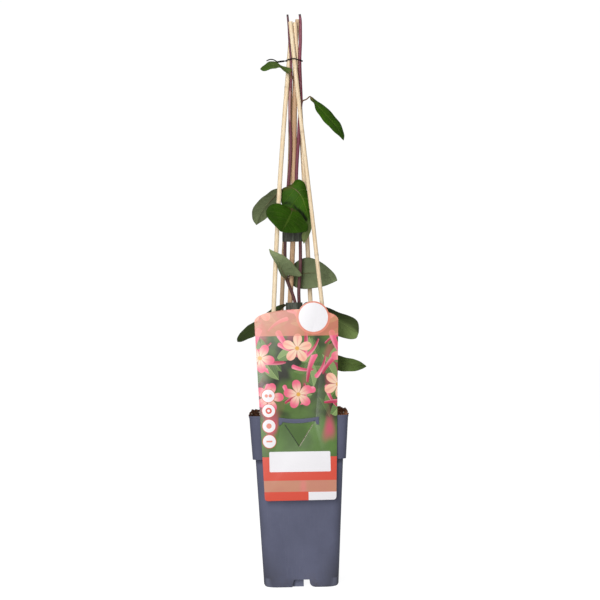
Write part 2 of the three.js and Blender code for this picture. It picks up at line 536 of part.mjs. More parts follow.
// ---- Leaves ----
// Each grows from a node of its stem, by way of the point via. midrib, left and right are points along the
// middle and the two margins of the blade, base first. Left and right are as seen from the upper side, with
// the tip ahead.
const curve = (...points) => points.map((point) => vec(...point));
const LEAVES = {
  leaf_top_left: {
    stem: 'stem_left', node: 'top', via: vec(-3.1, -9, 625.7),
    midrib: curve([-3.7, -10.5, 628.7], [-8.7, -12.5, 632.5], [-16, -15.5, 636.5], [-27.4, -18, 638.2],
      [-40.7, -21, 633.3]),
    left: curve([-6.2, -13, 628.2], [-10.5, -17, 629.9], [-15.4, -20.5, 634.2], [-21.8, -25, 633.5],
      [-29.2, -26, 631.8], [-36.9, -24, 630.2]),
    right: curve([-2.1, -9, 633.8], [-7.8, -7.5, 636.8], [-16.4, -9, 639.8], [-22.2, -9, 644],
      [-29.3, -9.5, 643.7], [-36.7, -14, 638.4]),
  },
  leaf_top_right: {
    stem: 'stem_right', node: 'top', via: vec(15.7, -4, 597.3),
    midrib: curve([20.3, -5, 600.6], [25.7, -6, 592.7], [35.2, -8, 581.6], [45.5, -9, 569.9],
      [54.5, -12, 557.8], [60.5, -16, 544.6]),
    left: curve([22.8, -3, 600.1], [29.4, 1, 594.9], [39.1, 4, 589], [48.5, 4, 578.8], [55.4, 2, 570.2],
      [60, -3, 560], [61.6, -9, 551.2]),
    right: curve([20.5, -7, 596.4], [24.4, -10, 591.8], [26.5, -14, 584], [32.7, -18, 573.2],
      [39.6, -20, 564.6], [47.7, -20, 556.3], [55.6, -18, 549.1]),
  },
  leaf_mid_left: {
    stem: 'stem_left', node: 'upper', via: vec(-11.7, 1.5, 486.9),
    midrib: curve([-17, 2, 486.2], [-25.9, 4, 478.3], [-36, 5, 467.6], [-44.2, 5, 456], [-49, 3, 443.1]),
    left: curve([-19.8, 1.5, 487.8], [-27.5, 0, 486.2], [-36.3, -2, 480.1], [-47.7, -3, 470.4],
      [-53.7, -2, 460.1], [-53.2, 0, 449.7]),
    right: curve([-16.5, 4, 481.6], [-19.2, 9, 472.6], [-25.6, 12, 461.6], [-35.3, 12, 452.3],
      [-43.8, 8, 446.3]),
  },
  leaf_mid_arched: {
    stem: 'stem_left', node: 'upper', via: vec(-9.8, -6.2, 488.2),
    midrib: curve([-10.6, -8.2, 488.6], [-6.6, -10.2, 488.4], [-2.7, -11.5, 487.2], [2.4, -12.5, 483.3],
      [7.3, -13, 477.3], [11.8, -12.5, 465.9], [14.8, -11.5, 452.4], [14.7, -10, 435.2], [9.6, -9, 418.5]),
    left: curve([-9.6, -7.8, 490.2], [-4.1, -7, 492.2], [-0.1, -7, 496.5], [5.2, -7, 498],
      [11.7, -7.5, 493.5], [14.5, -8, 483.7], [16.7, -8, 472.4], [18.3, -7, 461.2], [19.2, -6.5, 448.8],
      [19.5, -7, 437.7], [16, -8, 428.4]),
    right: curve([-14.2, -8, 488.2], [-17.4, -8.2, 484.6], [-18, -9, 477], [-17.2, -10.5, 468.5],
      [-12, -12, 462.5], [-5, -12, 457.5], [2.5, -12, 453.5], [8, -12.5, 449], [11, -13, 443.5],
      [10.6, -12.8, 436], [6.9, -12, 428.5]),
  },
  leaf_mid_front: {
    stem: 'stem_right', node: 'upper', via: vec(2.4, -12, 450.1),
    midrib: curve([-4.1, -17.5, 461.5], [-4.9, -21, 457.2], [-7, -27.5, 451.4], [-10, -34, 445],
      [-13.8, -40, 438.1], [-18.1, -44, 432.4]),
    left: curve([-0.7, -18, 460.2], [6.9, -20, 453.1], [13.2, -25, 444], [15.4, -29, 438.4],
      [13.6, -33, 433.1], [7.1, -37, 431.2], [-5.1, -42, 430.6], [-13.2, -44, 431.1]),
    right: curve([-7.4, -17.5, 463], [-14.1, -21, 465.4], [-22.8, -24.5, 468], [-30.6, -27, 465.6],
      [-35.9, -31, 458.4], [-34.6, -35, 450.7], [-28.9, -39, 443.8], [-23.4, -42, 437.5]),
  },
  leaf_low_left: {
    stem: 'stem_left', node: 'lower', via: vec(-13.4, -9.4, 374.2),
    midrib: curve([-13.1, -12.5, 375.1], [-16.6, -20, 383], [-20.7, -28, 391.6], [-26, -35, 401.3],
      [-32.8, -41, 411.5]),
    left: curve([-10.2, -13, 379.7], [-4.4, -11.5, 378.8], [2.6, -10, 377.6], [6.2, -10, 379.1],
      [5, -11, 382.8], [-0.8, -16, 389.9], [-7.6, -22, 397.5], [-15.7, -29.5, 403.9], [-25, -37, 407.9]),
    right: curve([-15.2, -14, 376], [-18.9, -20, 379.5], [-21.5, -27, 385.3], [-23.7, -31.5, 391.7],
      [-27.5, -36, 398.2], [-31.1, -40, 405]),
  },
  leaf_low_right: {
    stem: 'stem_left', node: 'lower', via: vec(-12.7, 2.5, 377.1),
    midrib: curve([-9.9, 7, 378.6], [-1.9, 8.5, 380.8], [8.1, 9.5, 381.9], [24.1, 11.5, 382.3],
      [37.9, 11.5, 378.9], [50.5, 10, 372.6]),
    left: curve([-8.5, 7, 372.1], [-2.3, 8.5, 365.3], [8.4, 9.5, 362.6], [20.2, 11, 363.4],
      [32.9, 12, 365.4], [43, 11.5, 368.9]),
    right: curve([-8, 7.5, 387.1], [-3, 8.5, 394.2], [5.8, 9.5, 400], [15, 10, 401.7], [23.3, 10, 399.6],
      [33.1, 9.5, 394.1], [43.8, 9, 384.9], [48.8, 9.3, 378.4]),
  },
  leaf_label_left: {
    stem: 'stem_right', node: 'lower', via: vec(-2.5, 8.5, 332),
    midrib: curve([-13.1, 9, 343.2], [-20.6, 11.5, 340], [-32.7, 15, 332.3], [-46.7, 20, 321],
      [-62.3, 34, 308.4], [-76.5, 56, 297.3]),
    left: curve([-15, 8, 341.3], [-22.5, 6.5, 335.7], [-32.6, 5, 325.9], [-42.8, 8, 314.8],
      [-53.8, 18, 304.6], [-64, 32, 300.4], [-71.6, 46, 297.1]),
    right: curve([-16.2, 11, 344.4], [-25.9, 15, 341.4], [-37.7, 20, 334.3], [-46.7, 25, 327.9],
      [-55.6, 32, 321.8], [-63.9, 40, 316.5], [-72.5, 48, 308.5], [-77, 54, 300.7]),
  },
  leaf_label_right: {
    stem: 'stem_right', node: 'lower', via: vec(9.6, 4.4, 330),
    midrib: curve([8.2, 5.5, 343.4], [14.9, 4, 343.1], [25.9, 0, 336.8], [40.6, -4, 327.9],
      [56.4, -8, 318.5], [67.4, -10, 311.5], [75.4, -11, 307.1]),
    left: curve([10.6, 8, 346], [16.8, 11, 346.4], [28.6, 12, 342.8], [37.4, 11, 339.3], [45.4, 9, 335.7],
      [54.5, 7, 332.1], [63.6, 4, 328.5], [70.9, 0, 325.4], [75, -4, 320.6], [76.1, -8, 313.2]),
    right: curve([9.6, 4, 339.5], [14.7, -1, 331.4], [26.7, -8, 317.7], [38.9, -12, 308.3],
      [50.1, -14, 303.6], [59.2, -14, 300.9], [67.2, -13, 299.6], [72.8, -12, 301]),
  },
  leaf_side_right: {
    stem: 'stem_right', node: 'base', via: vec(13, 1.8, 270.5),
    midrib: curve([20.1, 0, 281.7], [33.6, -4, 277.3], [49.4, -11, 272.3], [63.9, -21, 269.4],
      [75.7, -33, 267.9], [83, -47, 267.2]),
    left: curve([26.4, 3, 284.9], [37.5, 1, 283.5], [49.5, -4, 280], [57.8, -10, 277.5], [66.7, -18, 275.9],
      [75.3, -29, 273.1], [80.9, -41, 269.4]),
    right: curve([24.9, -3, 273.7], [37, -12, 265.2], [51.6, -22, 261.2], [61.5, -30, 260.6],
      [71.2, -37, 261.7], [78.5, -44, 264.2]),
  },
  leaf_back_right: {
    stem: 'stem_right', node: 'base', via: vec(8.6, 7.4, 270),
    midrib: curve([12, 9, 272.5], [24, 14, 275.5], [38, 23, 274.5], [54, 38, 266]),
    left: curve([16, 16, 274], [26.5, 27, 275.5], [41, 36, 271], [51, 41, 267.5]),
    right: curve([18, 5.5, 273.5], [33, 8, 271.5], [49, 20, 264], [55, 33, 260.5]),
  },
  leaf_back_left: {
    stem: 'stem_left', node: 'base', via: vec(-1.4, 5, 244),
    midrib: curve([-4, 8.5, 247], [-16, 13.5, 254], [-32, 20, 256], [-49, 26, 248]),
    left: curve([-8, 7.5, 249.5], [-18, 7.5, 253], [-34, 9.5, 252], [-46, 19, 247]),
    right: curve([-6, 14, 249.5], [-14, 21, 253.5], [-27, 27.5, 254], [-42, 30.5, 249]),
  },
  leaf_base_front: {
    stem: 'stem_left', node: 'base', via: vec(4.6, -4.4, 244),
    midrib: curve([5, -7, 247], [11, -19, 251], [16, -33, 249], [19, -46, 240]),
    left: curve([10, -8.5, 249], [21, -17, 250.5], [27, -29, 248], [25, -41, 242]),
    right: curve([2.5, -12, 249.5], [1.5, -24, 251.5], [6, -37, 248], [13.5, -44.5, 242.5]),
  },
};

// A margin from beside one end of the midrib to beside the other.
function marginOf(spine, side) {
  const beside = (along, towards) => {
    const end = spine.getPoint(along);
    const forward = spine.getTangent(along);
    const outward = towards.clone().sub(end);
    outward.addScaledVector(forward, -outward.dot(forward)).setLength(LEAF_END_HALF);
    return end.add(outward);
  };
  return pathOf([beside(0, side[0]), ...side, beside(1, side.at(-1))]);
}

// The middle surface of a blade: rows of points from the left margin over the midrib to the right one.
function bladeSurface({ midrib, left, right }) {
  const spine = pathOf(midrib);
  const margins = [marginOf(spine, left), marginOf(spine, right)];
  const surface = [];
  for (let row = 0; row <= LEAF_ROWS; row += 1) {
    const along = row / LEAF_ROWS;
    const middle = spine.getPointAt(along);
    const points = [];
    for (let column = -LEAF_HALF_COLUMNS; column <= LEAF_HALF_COLUMNS; column += 1) {
      const edge = margins[column < 0 ? 0 : 1].getPointAt(along);
      points.push(middle.clone().lerp(edge, Math.abs(column) / LEAF_HALF_COLUMNS));
    }
    surface.push(points);
  }
  return surface;
}

// The direction that the middle surface faces at one of its points.
function facingOf(surface, row, column) {
  const before = surface[Math.max(row - 1, 0)][column];
  const after = surface[Math.min(row + 1, LEAF_ROWS)][column];
  const left = surface[row][Math.max(column - 1, 0)];
  const right = surface[row][Math.min(column + 1, 2 * LEAF_HALF_COLUMNS)];
  return right.clone().sub(left).cross(after.clone().sub(before)).normalize();
}

function leafBlade(leaf) {
  const surface = bladeSurface(leaf);
  const upper = [];
  const lower = [];
  surface.forEach((points, row) => points.forEach((point, column) => {
    const face = facingOf(surface, row, column).multiplyScalar(LEAF_THICKNESS / 2);
    upper.push(point.clone().add(face));
    lower.push(point.clone().sub(face));
  }));
  const faces = [];
  const columns = 2 * LEAF_HALF_COLUMNS;
  const stride = columns + 1;
  const under = upper.length;
  const quad = (a, b, c, d) => faces.push(a, b, c, a, c, d);
  for (let row = 0; row < LEAF_ROWS; row += 1) {
    for (let column = 0; column < columns; column += 1) {
      const a = row * stride + column;
      const [b, c, d] = [a + 1, a + stride + 1, a + stride];
      quad(a, b, c, d);
      faces.push(under + a, under + c, under + b, under + a, under + d, under + c);
    }
    const left = row * stride;
    const right = left + columns;
    quad(left, left + stride, under + left + stride, under + left);
    quad(right + stride, right, under + right, under + right + stride);
  }
  const last = LEAF_ROWS * stride;
  for (let column = 0; column < columns; column += 1) {
    quad(column + 1, column, under + column, under + column + 1);
    quad(last + column, last + column + 1, under + last + column + 1, under + last + column);
  }
  const geometry = new THREE.BufferGeometry().setFromPoints([...upper, ...lower]);
  geometry.setIndex(faces);
  return solid(geometry);
}

function makeLeaf(leaf) {
  const grows = pointAt(STEMS[leaf.stem], STEM_NODES[leaf.stem][leaf.node]);
  const outward = leaf.via.clone().sub(grows).normalize();
  const start = grows.addScaledVector(outward, STEM_NODE_RADIUS + 2 * GAP);
  const inward = pathOf(leaf.midrib).getPointAt(0.08);
  const petiole = tube([start, leaf.via, leaf.midrib[0], inward], PETIOLE_RADIUS, 6, 8);
  return petiole.add(leafBlade(leaf));
}

// ---- Assembly ----
const group = new THREE.Group();

function place(name, body, finish) {
  const mesh = new THREE.Mesh(geometryOf(body), finish);
  mesh.name = name;
  group.add(mesh);
}

place('pot', makePot(), MATERIALS.pot);
place('soil', makeSoil(), MATERIALS.soil);
for (const name of Object.keys(CANES)) {
  place(name, makeCane(name), name.startsWith('cane_front') ? MATERIALS.cane : MATERIALS.caneShaded);
}
for (const name of Object.keys(STEMS)) {
  place(name, makeStem(name), MATERIALS.stem);
}
for (const [name, foot] of Object.entries(TAPE_FOOT)) {
  place(name, makeTape(foot), MATERIALS.tape);
}
place('wire_tie', makeWireTie(), MATERIALS.wire);
place('plant_label', makeLabel(), MATERIALS.label);
for (const [name, leaf] of Object.entries(LEAVES)) {
  place(name, makeLeaf(leaf), MATERIALS.leaf);
}

export default group;
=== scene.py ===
"""A young honeysuckle on five bamboo canes in a tall square pot: the looks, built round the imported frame."""

import math
from functools import partial

import bmesh
import bpy
import numpy as np
from bpy.props import FloatProperty, FloatVectorProperty, IntProperty, PointerProperty
from mathutils import Euler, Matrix, Quaternion, Vector, noise


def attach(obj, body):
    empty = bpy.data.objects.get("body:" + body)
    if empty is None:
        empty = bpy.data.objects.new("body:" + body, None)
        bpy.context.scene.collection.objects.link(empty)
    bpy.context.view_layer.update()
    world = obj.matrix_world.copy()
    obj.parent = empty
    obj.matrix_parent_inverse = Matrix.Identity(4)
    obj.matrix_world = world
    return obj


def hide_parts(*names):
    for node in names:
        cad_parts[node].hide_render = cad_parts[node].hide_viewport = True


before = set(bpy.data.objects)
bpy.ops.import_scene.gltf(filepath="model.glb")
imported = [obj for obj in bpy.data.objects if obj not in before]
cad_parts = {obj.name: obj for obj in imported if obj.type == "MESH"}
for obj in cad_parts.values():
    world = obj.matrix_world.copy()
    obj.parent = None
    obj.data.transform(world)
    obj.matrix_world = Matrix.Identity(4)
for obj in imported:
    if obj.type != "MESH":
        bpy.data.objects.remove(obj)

bl_info = {
    "name": "Potted Honeysuckle",
    "version": (1, 0, 0),
    "blender": (4, 5, 0),
    "location": "3D View > Sidebar > Honeysuckle",
    "description": "Dresses a potted honeysuckle with leaves, bark, bamboo, compost and a printed label",
    "category": "Object",
}

MM = 0.001

# Heights in millimetres, like all shapes and patterns. Settings, bumps and the studio are in metres.
POT_HEIGHT = 209.5
COLLAR_FOOT = 156.5
SOIL_LEVEL = 208
PLANT_HEIGHT = 703


def srgb(red, green, blue):
    """A screen colour, 0 to 255 a channel, as the linear colour that shaders use."""
    channels = (red / 255, green / 255, blue / 255)
    return tuple(c / 12.92 if c <= 0.04045 else ((c + 0.055) / 1.055) ** 2.4 for c in channels)


def scaled(values, share):
    return tuple(share * value for value in values)


# ---------------------------------------------------------------- settings


def amount(name, description, default, **more):
    return FloatProperty(name=name, description=description, default=default, min=0.0, **more)


def length(name, description, default):
    return amount(name, description, default, precision=5, unit="LENGTH")


def colour(name, description, default):
    return FloatVectorProperty(
        name=name, description=description, default=default, size=3, min=0.0, max=1.0, subtype="COLOR"
    )


class StudioSettings(bpy.types.PropertyGroup):
    camera_distance: length("Camera distance", "From the camera to the middle of the pot", 2.2)
    camera_height: length("Camera height", "Of the level camera above the floor", 0.349)
    camera_aside: length("Camera aside", "How far to the right the camera stands", 0.0038)
    focal_length: amount("Focal length", "Of the lens, in millimetres", 106.47)
    camera_roll: FloatProperty(
        name="Camera roll",
        description="Turn of the camera about its line of sight",
        default=math.radians(-0.9),
        subtype="ANGLE",
    )
    backdrop: colour("Backdrop", "Colour of the floor and the air", (1.0, 1.0, 1.0))
    air_white: amount("Air white", "How strongly the air shines to the camera", 1.02)
    air_glow: amount("Air glow", "How strongly the air lights the plant", 0.2)
    floor_white: amount("Floor white", "How strongly the floor shines to the camera", 0.93)
    floor_glow: amount("Floor glow", "How strongly the floor lights the plant", 0.28)
    floor_reach: length("Floor reach", "From the middle of the floor to its sides", 8.0)
    key_power: amount("Key light", "Power of the tall light at the front left", 47.0)
    fill_power: amount("Fill light", "Power of the light at the right", 3.0)


class PotSettings(bpy.types.PropertyGroup):
    plastic: colour("Plastic", "Colour of the pot", srgb(99, 102, 124))
    edge: length("Edge", "Width of the pot's softened edges", 0.0004)
    compost: colour("Compost", "Main colour of the compost", srgb(112, 68, 48))
    crumb: length("Crumb", "Usual size of a crumb of compost", 0.0017)
    crumbs: amount("Crumbs", "Crumbs of compost on a square metre", 90000.0)


class PlantSettings(bpy.types.PropertyGroup):
    upper_side: colour("Upper side", "Colour of the leaves from above", srgb(52, 93, 8))
    under_side: colour("Underside", "Colour of the leaves from below", srgb(122, 134, 97))
    blade: length("Blade", "Thickness of a leaf at its middle", 0.0005)
    rows: IntProperty(name="Rows", description="Rows of faces along a leaf", default=44, min=8, max=80)
    bark: colour("Bark", "Colour of the young stems", srgb(88, 48, 54))
    bamboo: colour("Bamboo", "Colour of a fresh cane", srgb(248, 230, 198))
    # A browner colour, mixed into each cane as far as its marks say.
    brown_bamboo: colour("Weathered bamboo", "Colour of a browner cane", srgb(206, 168, 130))
    tape: colour("Tape", "Colour of the nursery tape", srgb(64, 67, 57))
    wire: colour("Wire", "Colour of the coated wire", srgb(14, 14, 16))


class LabelSettings(bpy.types.PropertyGroup):
    edge: length("Edge", "Width of the label's softened edges", 0.0001)
    banner: colour("Banner", "Colour of the band along the top", srgb(224, 136, 112))
    panel: colour("Panel", "Colour of the panel along the bottom", srgb(219, 80, 60))
    paper: colour("Paper", "Unprinted colour", srgb(240, 238, 241))
    pink: colour("Pink", "Deep colour of the printed flowers", srgb(238, 99, 135))
    cream: colour("Cream", "Pale colour of the printed flowers", srgb(246, 222, 190))
    foliage: colour("Foliage", "Colour of the printed leaves", srgb(105, 137, 75))


# ---------------------------------------------------------------- node trees


class Tree:
    """A node tree that is built node by node."""

    def add(self, kind, settings, values):
        """Adds a node, sets it, and feeds its sockets, by name or index, with links or plain values."""
        node = self.tree.nodes.new(kind)
        for key, value in (settings or {}).items():
            setattr(node, key, value)
        for key, value in (values or {}).items():
            socket = node.inputs[key]
            if isinstance(value, bpy.types.NodeSocket):
                self.tree.links.new(value, socket)
            elif socket.type == "RGBA":
                socket.default_value = (*value, 1.0)
            else:
                socket.default_value = value
        return node


def maths(operation):
    """A method that adds a Math node."""
    return lambda signal, *others: signal.net.maths(operation, signal, *others)


class Signal:
    """A value on its way through a shader tree. Arithmetic on it adds Math nodes."""

    def __init__(self, net, socket):
        self.net = net
        self.socket = socket

    __add__ = __radd__ = maths("ADD")
    __mul__ = __rmul__ = maths("MULTIPLY")
    __sub__ = maths("SUBTRACT")
    __truediv__ = maths("DIVIDE")
    __pow__ = maths("POWER")
    __abs__ = maths("ABSOLUTE")
    max = maths("MAXIMUM")
    min = maths("MINIMUM")

    def __rsub__(self, other):
        return self.net.maths("SUBTRACT", other, self)

    def above(self, low, high):
        """0 below low, 1 above high and smooth between; the other way round where low is the larger."""
        values = {"Value": self, "From Min": low, "From Max": high}
        return self.net.node("ShaderNodeMapRange", {"interpolation_type": "SMOOTHSTEP"}, values)

    def between(self, low, full, fade, high):
        """1 from full to fade, and down to 0 at low and at high."""
        return self.above(low, full) * self.above(high, fade)


class Net(Tree):
    """The shader tree of a material or of the world."""

    def __init__(self, owner):
        owner.use_nodes = True
        self.owner = owner
        self.tree = owner.node_tree
        self.tree.nodes.clear()

    def node(self, kind, settings=None, values=None, out=0):
        """Adds a node, whose values may be Signals, and gives its output out."""
        fed = {key: getattr(value, "socket", value) for key, value in (values or {}).items()}
        return Signal(self, self.add(kind, settings, fed).outputs[out])

    def maths(self, operation, *values):
        return self.node("ShaderNodeMath", {"operation": operation}, dict(enumerate(values)))

    def distance(self, across, up):
        return self.maths("SQRT", across * across + up * up)

    def mix(self, factor, first, second, blend="MIX"):
        settings = {"data_type": "RGBA", "blend_type": blend}
        return self.node("ShaderNodeMix", settings, {0: factor, 6: first, 7: second}, out=2)

    def coats(self, tint, *layers):
        """Lays colours over tint, one after another, each as strongly as the number before it says."""
        for strength, paint in layers:
            tint = self.mix(strength, tint, paint)
        return tint

    def place(self):
        """The point on the object, in millimetres, as a vector."""
        where = self.node("ShaderNodeTexCoord", out="Object")
        return self.node("ShaderNodeVectorMath", {"operation": "SCALE"}, {0: where, "Scale": 1 / MM})

    def parts(self, vector):
        split = self.node("ShaderNodeSeparateXYZ", values={0: vector})
        return split, *(Signal(self, split.socket.node.outputs[axis]) for axis in (1, 2))

    def attribute(self, name):
        return self.node("ShaderNodeAttribute", {"attribute_name": name}, out="Fac")

    def noise(self, vector, scale, detail, rough, stretch=None, out="Fac"):
        """Cloudy noise. stretch scales x, y and z first, so that it can run in streaks."""
        if stretch:
            vector = self.node("ShaderNodeMapping", values={"Vector": vector, "Scale": stretch})
        values = {"Vector": vector, "Scale": scale, "Detail": detail, "Roughness": rough}
        return self.node("ShaderNodeTexNoise", values=values, out=out)

    def cells(self, vector, scale, out, feature="F1", randomness=1.0, flat=False):
        settings = {"feature": feature, "voronoi_dimensions": "2D" if flat else "3D"}
        values = {"Vector": vector, "Scale": scale, "Randomness": randomness}
        return self.node("ShaderNodeTexVoronoi", settings, values, out)

    def surface(self, tint, roughness, height=None, depth=0.0, **constants):
        """A glossy surface. constants are set on the shader's own sockets."""
        values = {"Base Color": tint, "Roughness": roughness}
        if height is not None:
            values["Normal"] = self.node("ShaderNodeBump", values={"Distance": depth, "Height": height})
        values.update({key.replace("_", " "): value for key, value in constants.items()})
        return self.node("ShaderNodeBsdfPrincipled", values=values)

    def for_camera(self, seen, unseen):
        """What the camera sees, and what only lights the rest."""
        ray = self.node("ShaderNodeLightPath", out="Is Camera Ray")
        return self.node("ShaderNodeMixShader", values={0: ray, 1: unseen, 2: seen})

    def close(self, surface, kind="ShaderNodeOutputMaterial"):
        """Ends the tree with the surface and gives its owner."""
        self.add(kind, None, {"Surface": surface.socket})
        return self.owner

    def finish(self, *values, **constants):
        return self.close(self.surface(*values, **constants))


class Growth(Tree):
    """A geometry node tree with named inputs, run once on a mesh."""

    def __init__(self, name):
        self.tree = bpy.data.node_groups.new(name, "GeometryNodeTree")
        for way in ("INPUT", "OUTPUT"):
            self.tree.interface.new_socket("Geometry", in_out=way, socket_type="NodeSocketGeometry")
        self.start = self.tree.nodes.new("NodeGroupInput")

    def size(self, name, kind, default=None):
        """Adds a named input and gives its socket."""
        socket = self.tree.interface.new_socket(name, in_out="INPUT", socket_type=kind)
        if default is not None:
            socket.default_value = default
        return self.start.outputs[name]

    def node(self, kind, settings=None, values=None, out=0):
        return self.add(kind, settings, values).outputs[out]

    def end(self, geometry, material):
        realized = self.node("GeometryNodeRealizeInstances", values={0: geometry})
        painted = self.node("GeometryNodeSetMaterial", values={0: realized, "Material": material})
        self.add("NodeGroupOutput", None, {0: painted})

    def run(self, name, mesh, **sizes):
        """Grows the tree on the mesh and gives the plain mesh that results."""
        seedling = bpy.data.objects.new(name, mesh)
        bpy.context.scene.collection.objects.link(seedling)
        modifier = seedling.modifiers.new("growth", "NODES")
        modifier.node_group = self.tree
        for item in self.tree.interface.items_tree:
            if item.in_out == "INPUT" and item.name in sizes:
                modifier[item.identifier] = sizes[item.name]
        bpy.context.view_layer.update()
        grown = bpy.data.meshes.new_from_object(seedling.evaluated_get(bpy.context.evaluated_depsgraph_get()))
        bpy.data.objects.remove(seedling)
        grown.name = name
        return grown


# ---------------------------------------------------------------- materials


def material_net(name):
    return Net(bpy.data.materials.new(name))


def pot_plastic(settings):
    net = material_net("pot_plastic")
    where = net.place()
    x, y, z = net.parts(where)
    clouds = net.noise(where, 0.018, 4.0, 0.6)
    grain = net.noise(where, 1.6, 2.0, 0.6)
    drag = net.noise(where, 1.0, 3.0, 0.6, stretch=(0.5, 0.5, 0.03))
    dull = net.noise(where, 0.06, 5.0, 0.7).above(0.55, 0.8)
    splashes = z.above(26.0, 0.0) * net.noise(where, 0.12, 5.0, 0.7).above(0.42, 0.75)
    rim_dirt = z.above(POT_HEIGHT - 6.5, POT_HEIGHT) * net.noise(where, 0.3, 4.0, 0.7).above(0.55, 0.7)
    # Painted shadow: a dark band on the body just under the collar.
    collar_shadow = z.between(COLLAR_FOOT - 7.0, COLLAR_FOOT - 3.0, COLLAR_FOOT - 0.3, COLLAR_FOOT + 0.3)
    # Painted shade: darker towards the foot and on its rounded corners.
    foot_corner_shade = z.above(60.0, 4.0) * abs(x).above(14.0, 40.0)
    # Painted light: the shaded recess inside the foot is lightened.
    recess_light = abs(x).max(abs(y)).above(45.0, 42.0) * z.above(12.0, 10.0)
    tint = net.coats(
        net.mix(clouds.above(0.3, 0.75), scaled(settings.plastic, 0.9), scaled(settings.plastic, 1.07)),
        ((grain - 0.5) * 0.5 + drag.above(0.5, 0.85) * 0.22, srgb(122, 124, 140)),
        ((splashes * 0.3).max(rim_dirt * 0.45), srgb(92, 80, 68)),
        (z.above(COLLAR_FOOT - 2.0, COLLAR_FOOT + 1.0) * 0.14, srgb(30, 32, 46)),
        # painted shadow under the collar
        (collar_shadow * 0.42, srgb(30, 32, 40)),
        # painted shade at the foot and its lower corners
        ((z.above(14.0, 2.0) * 0.2).max(foot_corner_shade * 0.42), srgb(52, 50, 46)),
        # painted light in the recess inside the foot
        (recess_light * 0.3, srgb(150, 154, 178)),
    )
    roughness = 0.5 + dull * 0.14 + splashes * 0.2 + (grain - 0.5) * 0.1
    return net.finish(tint, roughness, grain * 0.5 + drag * 0.5, 0.00008, Specular_IOR_Level=0.15)


def compost(settings):
    """Painted shade on the left and painted light on the right, with a few pale crumbs."""
    net = material_net("compost")
    where = net.place()
    x = net.parts(where)[0]
    pale = net.attribute("pale")
    lumps = net.noise(where, 0.35, 6.0, 0.7)
    fibres = net.noise(where, 1.4, 5.0, 0.75, stretch=(0.9, 0.25, 0.6))
    tint = net.coats(
        net.mix(lumps.above(0.35, 0.68), scaled(settings.compost, 0.42), settings.compost),
        (fibres.above(0.58, 0.75) * 0.55, srgb(122, 92, 66)),
        (pale.above(0.86, 0.92) * 0.7, srgb(138, 98, 68)),
        # painted shade on the left and painted light on the right
        (x.above(-14.0, -50.0) * 0.5, srgb(34, 24, 18)),
        (x.above(14.0, 50.0) * 0.7, srgb(160, 108, 78)),
        (pale.above(0.985, 0.99), srgb(196, 186, 170)),
    )
    return net.finish(tint, 0.92, lumps + fibres * 0.6, 0.0008, Specular_IOR_Level=0.15)


def bamboo(settings):
    net = material_net("bamboo")
    where = net.place()
    z = net.parts(where)[2]
    knot = net.attribute("knot")
    fibres = net.noise(where, 1.0, 5.0, 0.65, stretch=(1.6, 1.6, 0.03))
    streaks = net.noise(where, 1.0, 3.0, 0.5, stretch=(0.9, 0.9, 0.006))
    spots = net.noise(where, 0.09, 4.0, 0.6).above(0.62, 0.74)
    fresh = net.coats(
        net.mix(streaks.above(0.35, 0.7), settings.bamboo, srgb(236, 206, 164)),
        (z.above(430.0, 350.0) * 0.3, srgb(252, 230, 196)),
    )
    tint = net.coats(
        fresh,
        (net.attribute("cane_brown"), net.mix(streaks.above(0.35, 0.65), settings.brown_bamboo, srgb(180, 138, 100))),
        (fibres.above(0.5, 0.72) * 0.3, srgb(180, 142, 98)),
        ((spots * 0.25).max(knot * 0.3), srgb(140, 104, 70)),
    )
    return net.finish(tint, 0.45 + fibres * 0.2, fibres + streaks * 0.5, 0.00025)


def bark(settings):
    """Brown below and pinker towards the top, and smoother there."""
    net = material_net("bark")
    where = net.place()
    x, _, z = net.parts(where)
    streaks = net.noise(where, 1.0, 4.0, 0.6, stretch=(1.2, 1.2, 0.05))
    patches = net.noise(where, 0.03, 3.0, 0.5)
    pinkness = z.above(330.0, 640.0) * (0.36 + x.above(-2.0, 3.0) * 0.24) + 0.05
    brown_left = z.above(470.0, 400.0) * x.above(-4.0, -8.0)
    dark_right = z.between(600.0, 606.0, 642.0, 650.0) * x.above(4.0, 7.0)
    dark_left_tip = z.above(640.0, 700.0) * x.above(2.0, 0.0)
    # Painted highlight: a pale band high on the left stem.
    left_stem_highlight = z.between(568.0, 576.0, 604.0, 612.0) * x.above(2.0, -1.0)
    tint = net.coats(
        net.mix(streaks.above(0.35, 0.7), settings.bark, srgb(104, 68, 66)),
        (patches.above(0.5, 0.7) * 0.5, srgb(104, 80, 70)),
        (pinkness, srgb(142, 56, 84)),
        (brown_left * 0.6, srgb(72, 46, 36)),
        (dark_right * 0.5, srgb(84, 30, 36)),
        (dark_left_tip * 0.6, srgb(84, 40, 52)),
        # painted highlight on the left stem
        (left_stem_highlight * 0.65, srgb(194, 152, 146)),
        (net.attribute("knot") * 0.75, srgb(128, 102, 80)),
        (z.above(PLANT_HEIGHT - 4.0, PLANT_HEIGHT - 0.5), srgb(44, 32, 34)),
    )
    roughness = 0.5 - z.above(500.0, 640.0) * 0.26 + streaks * 0.12
    return net.finish(tint, roughness, streaks, 0.0003, Specular_IOR_Level=0.4)


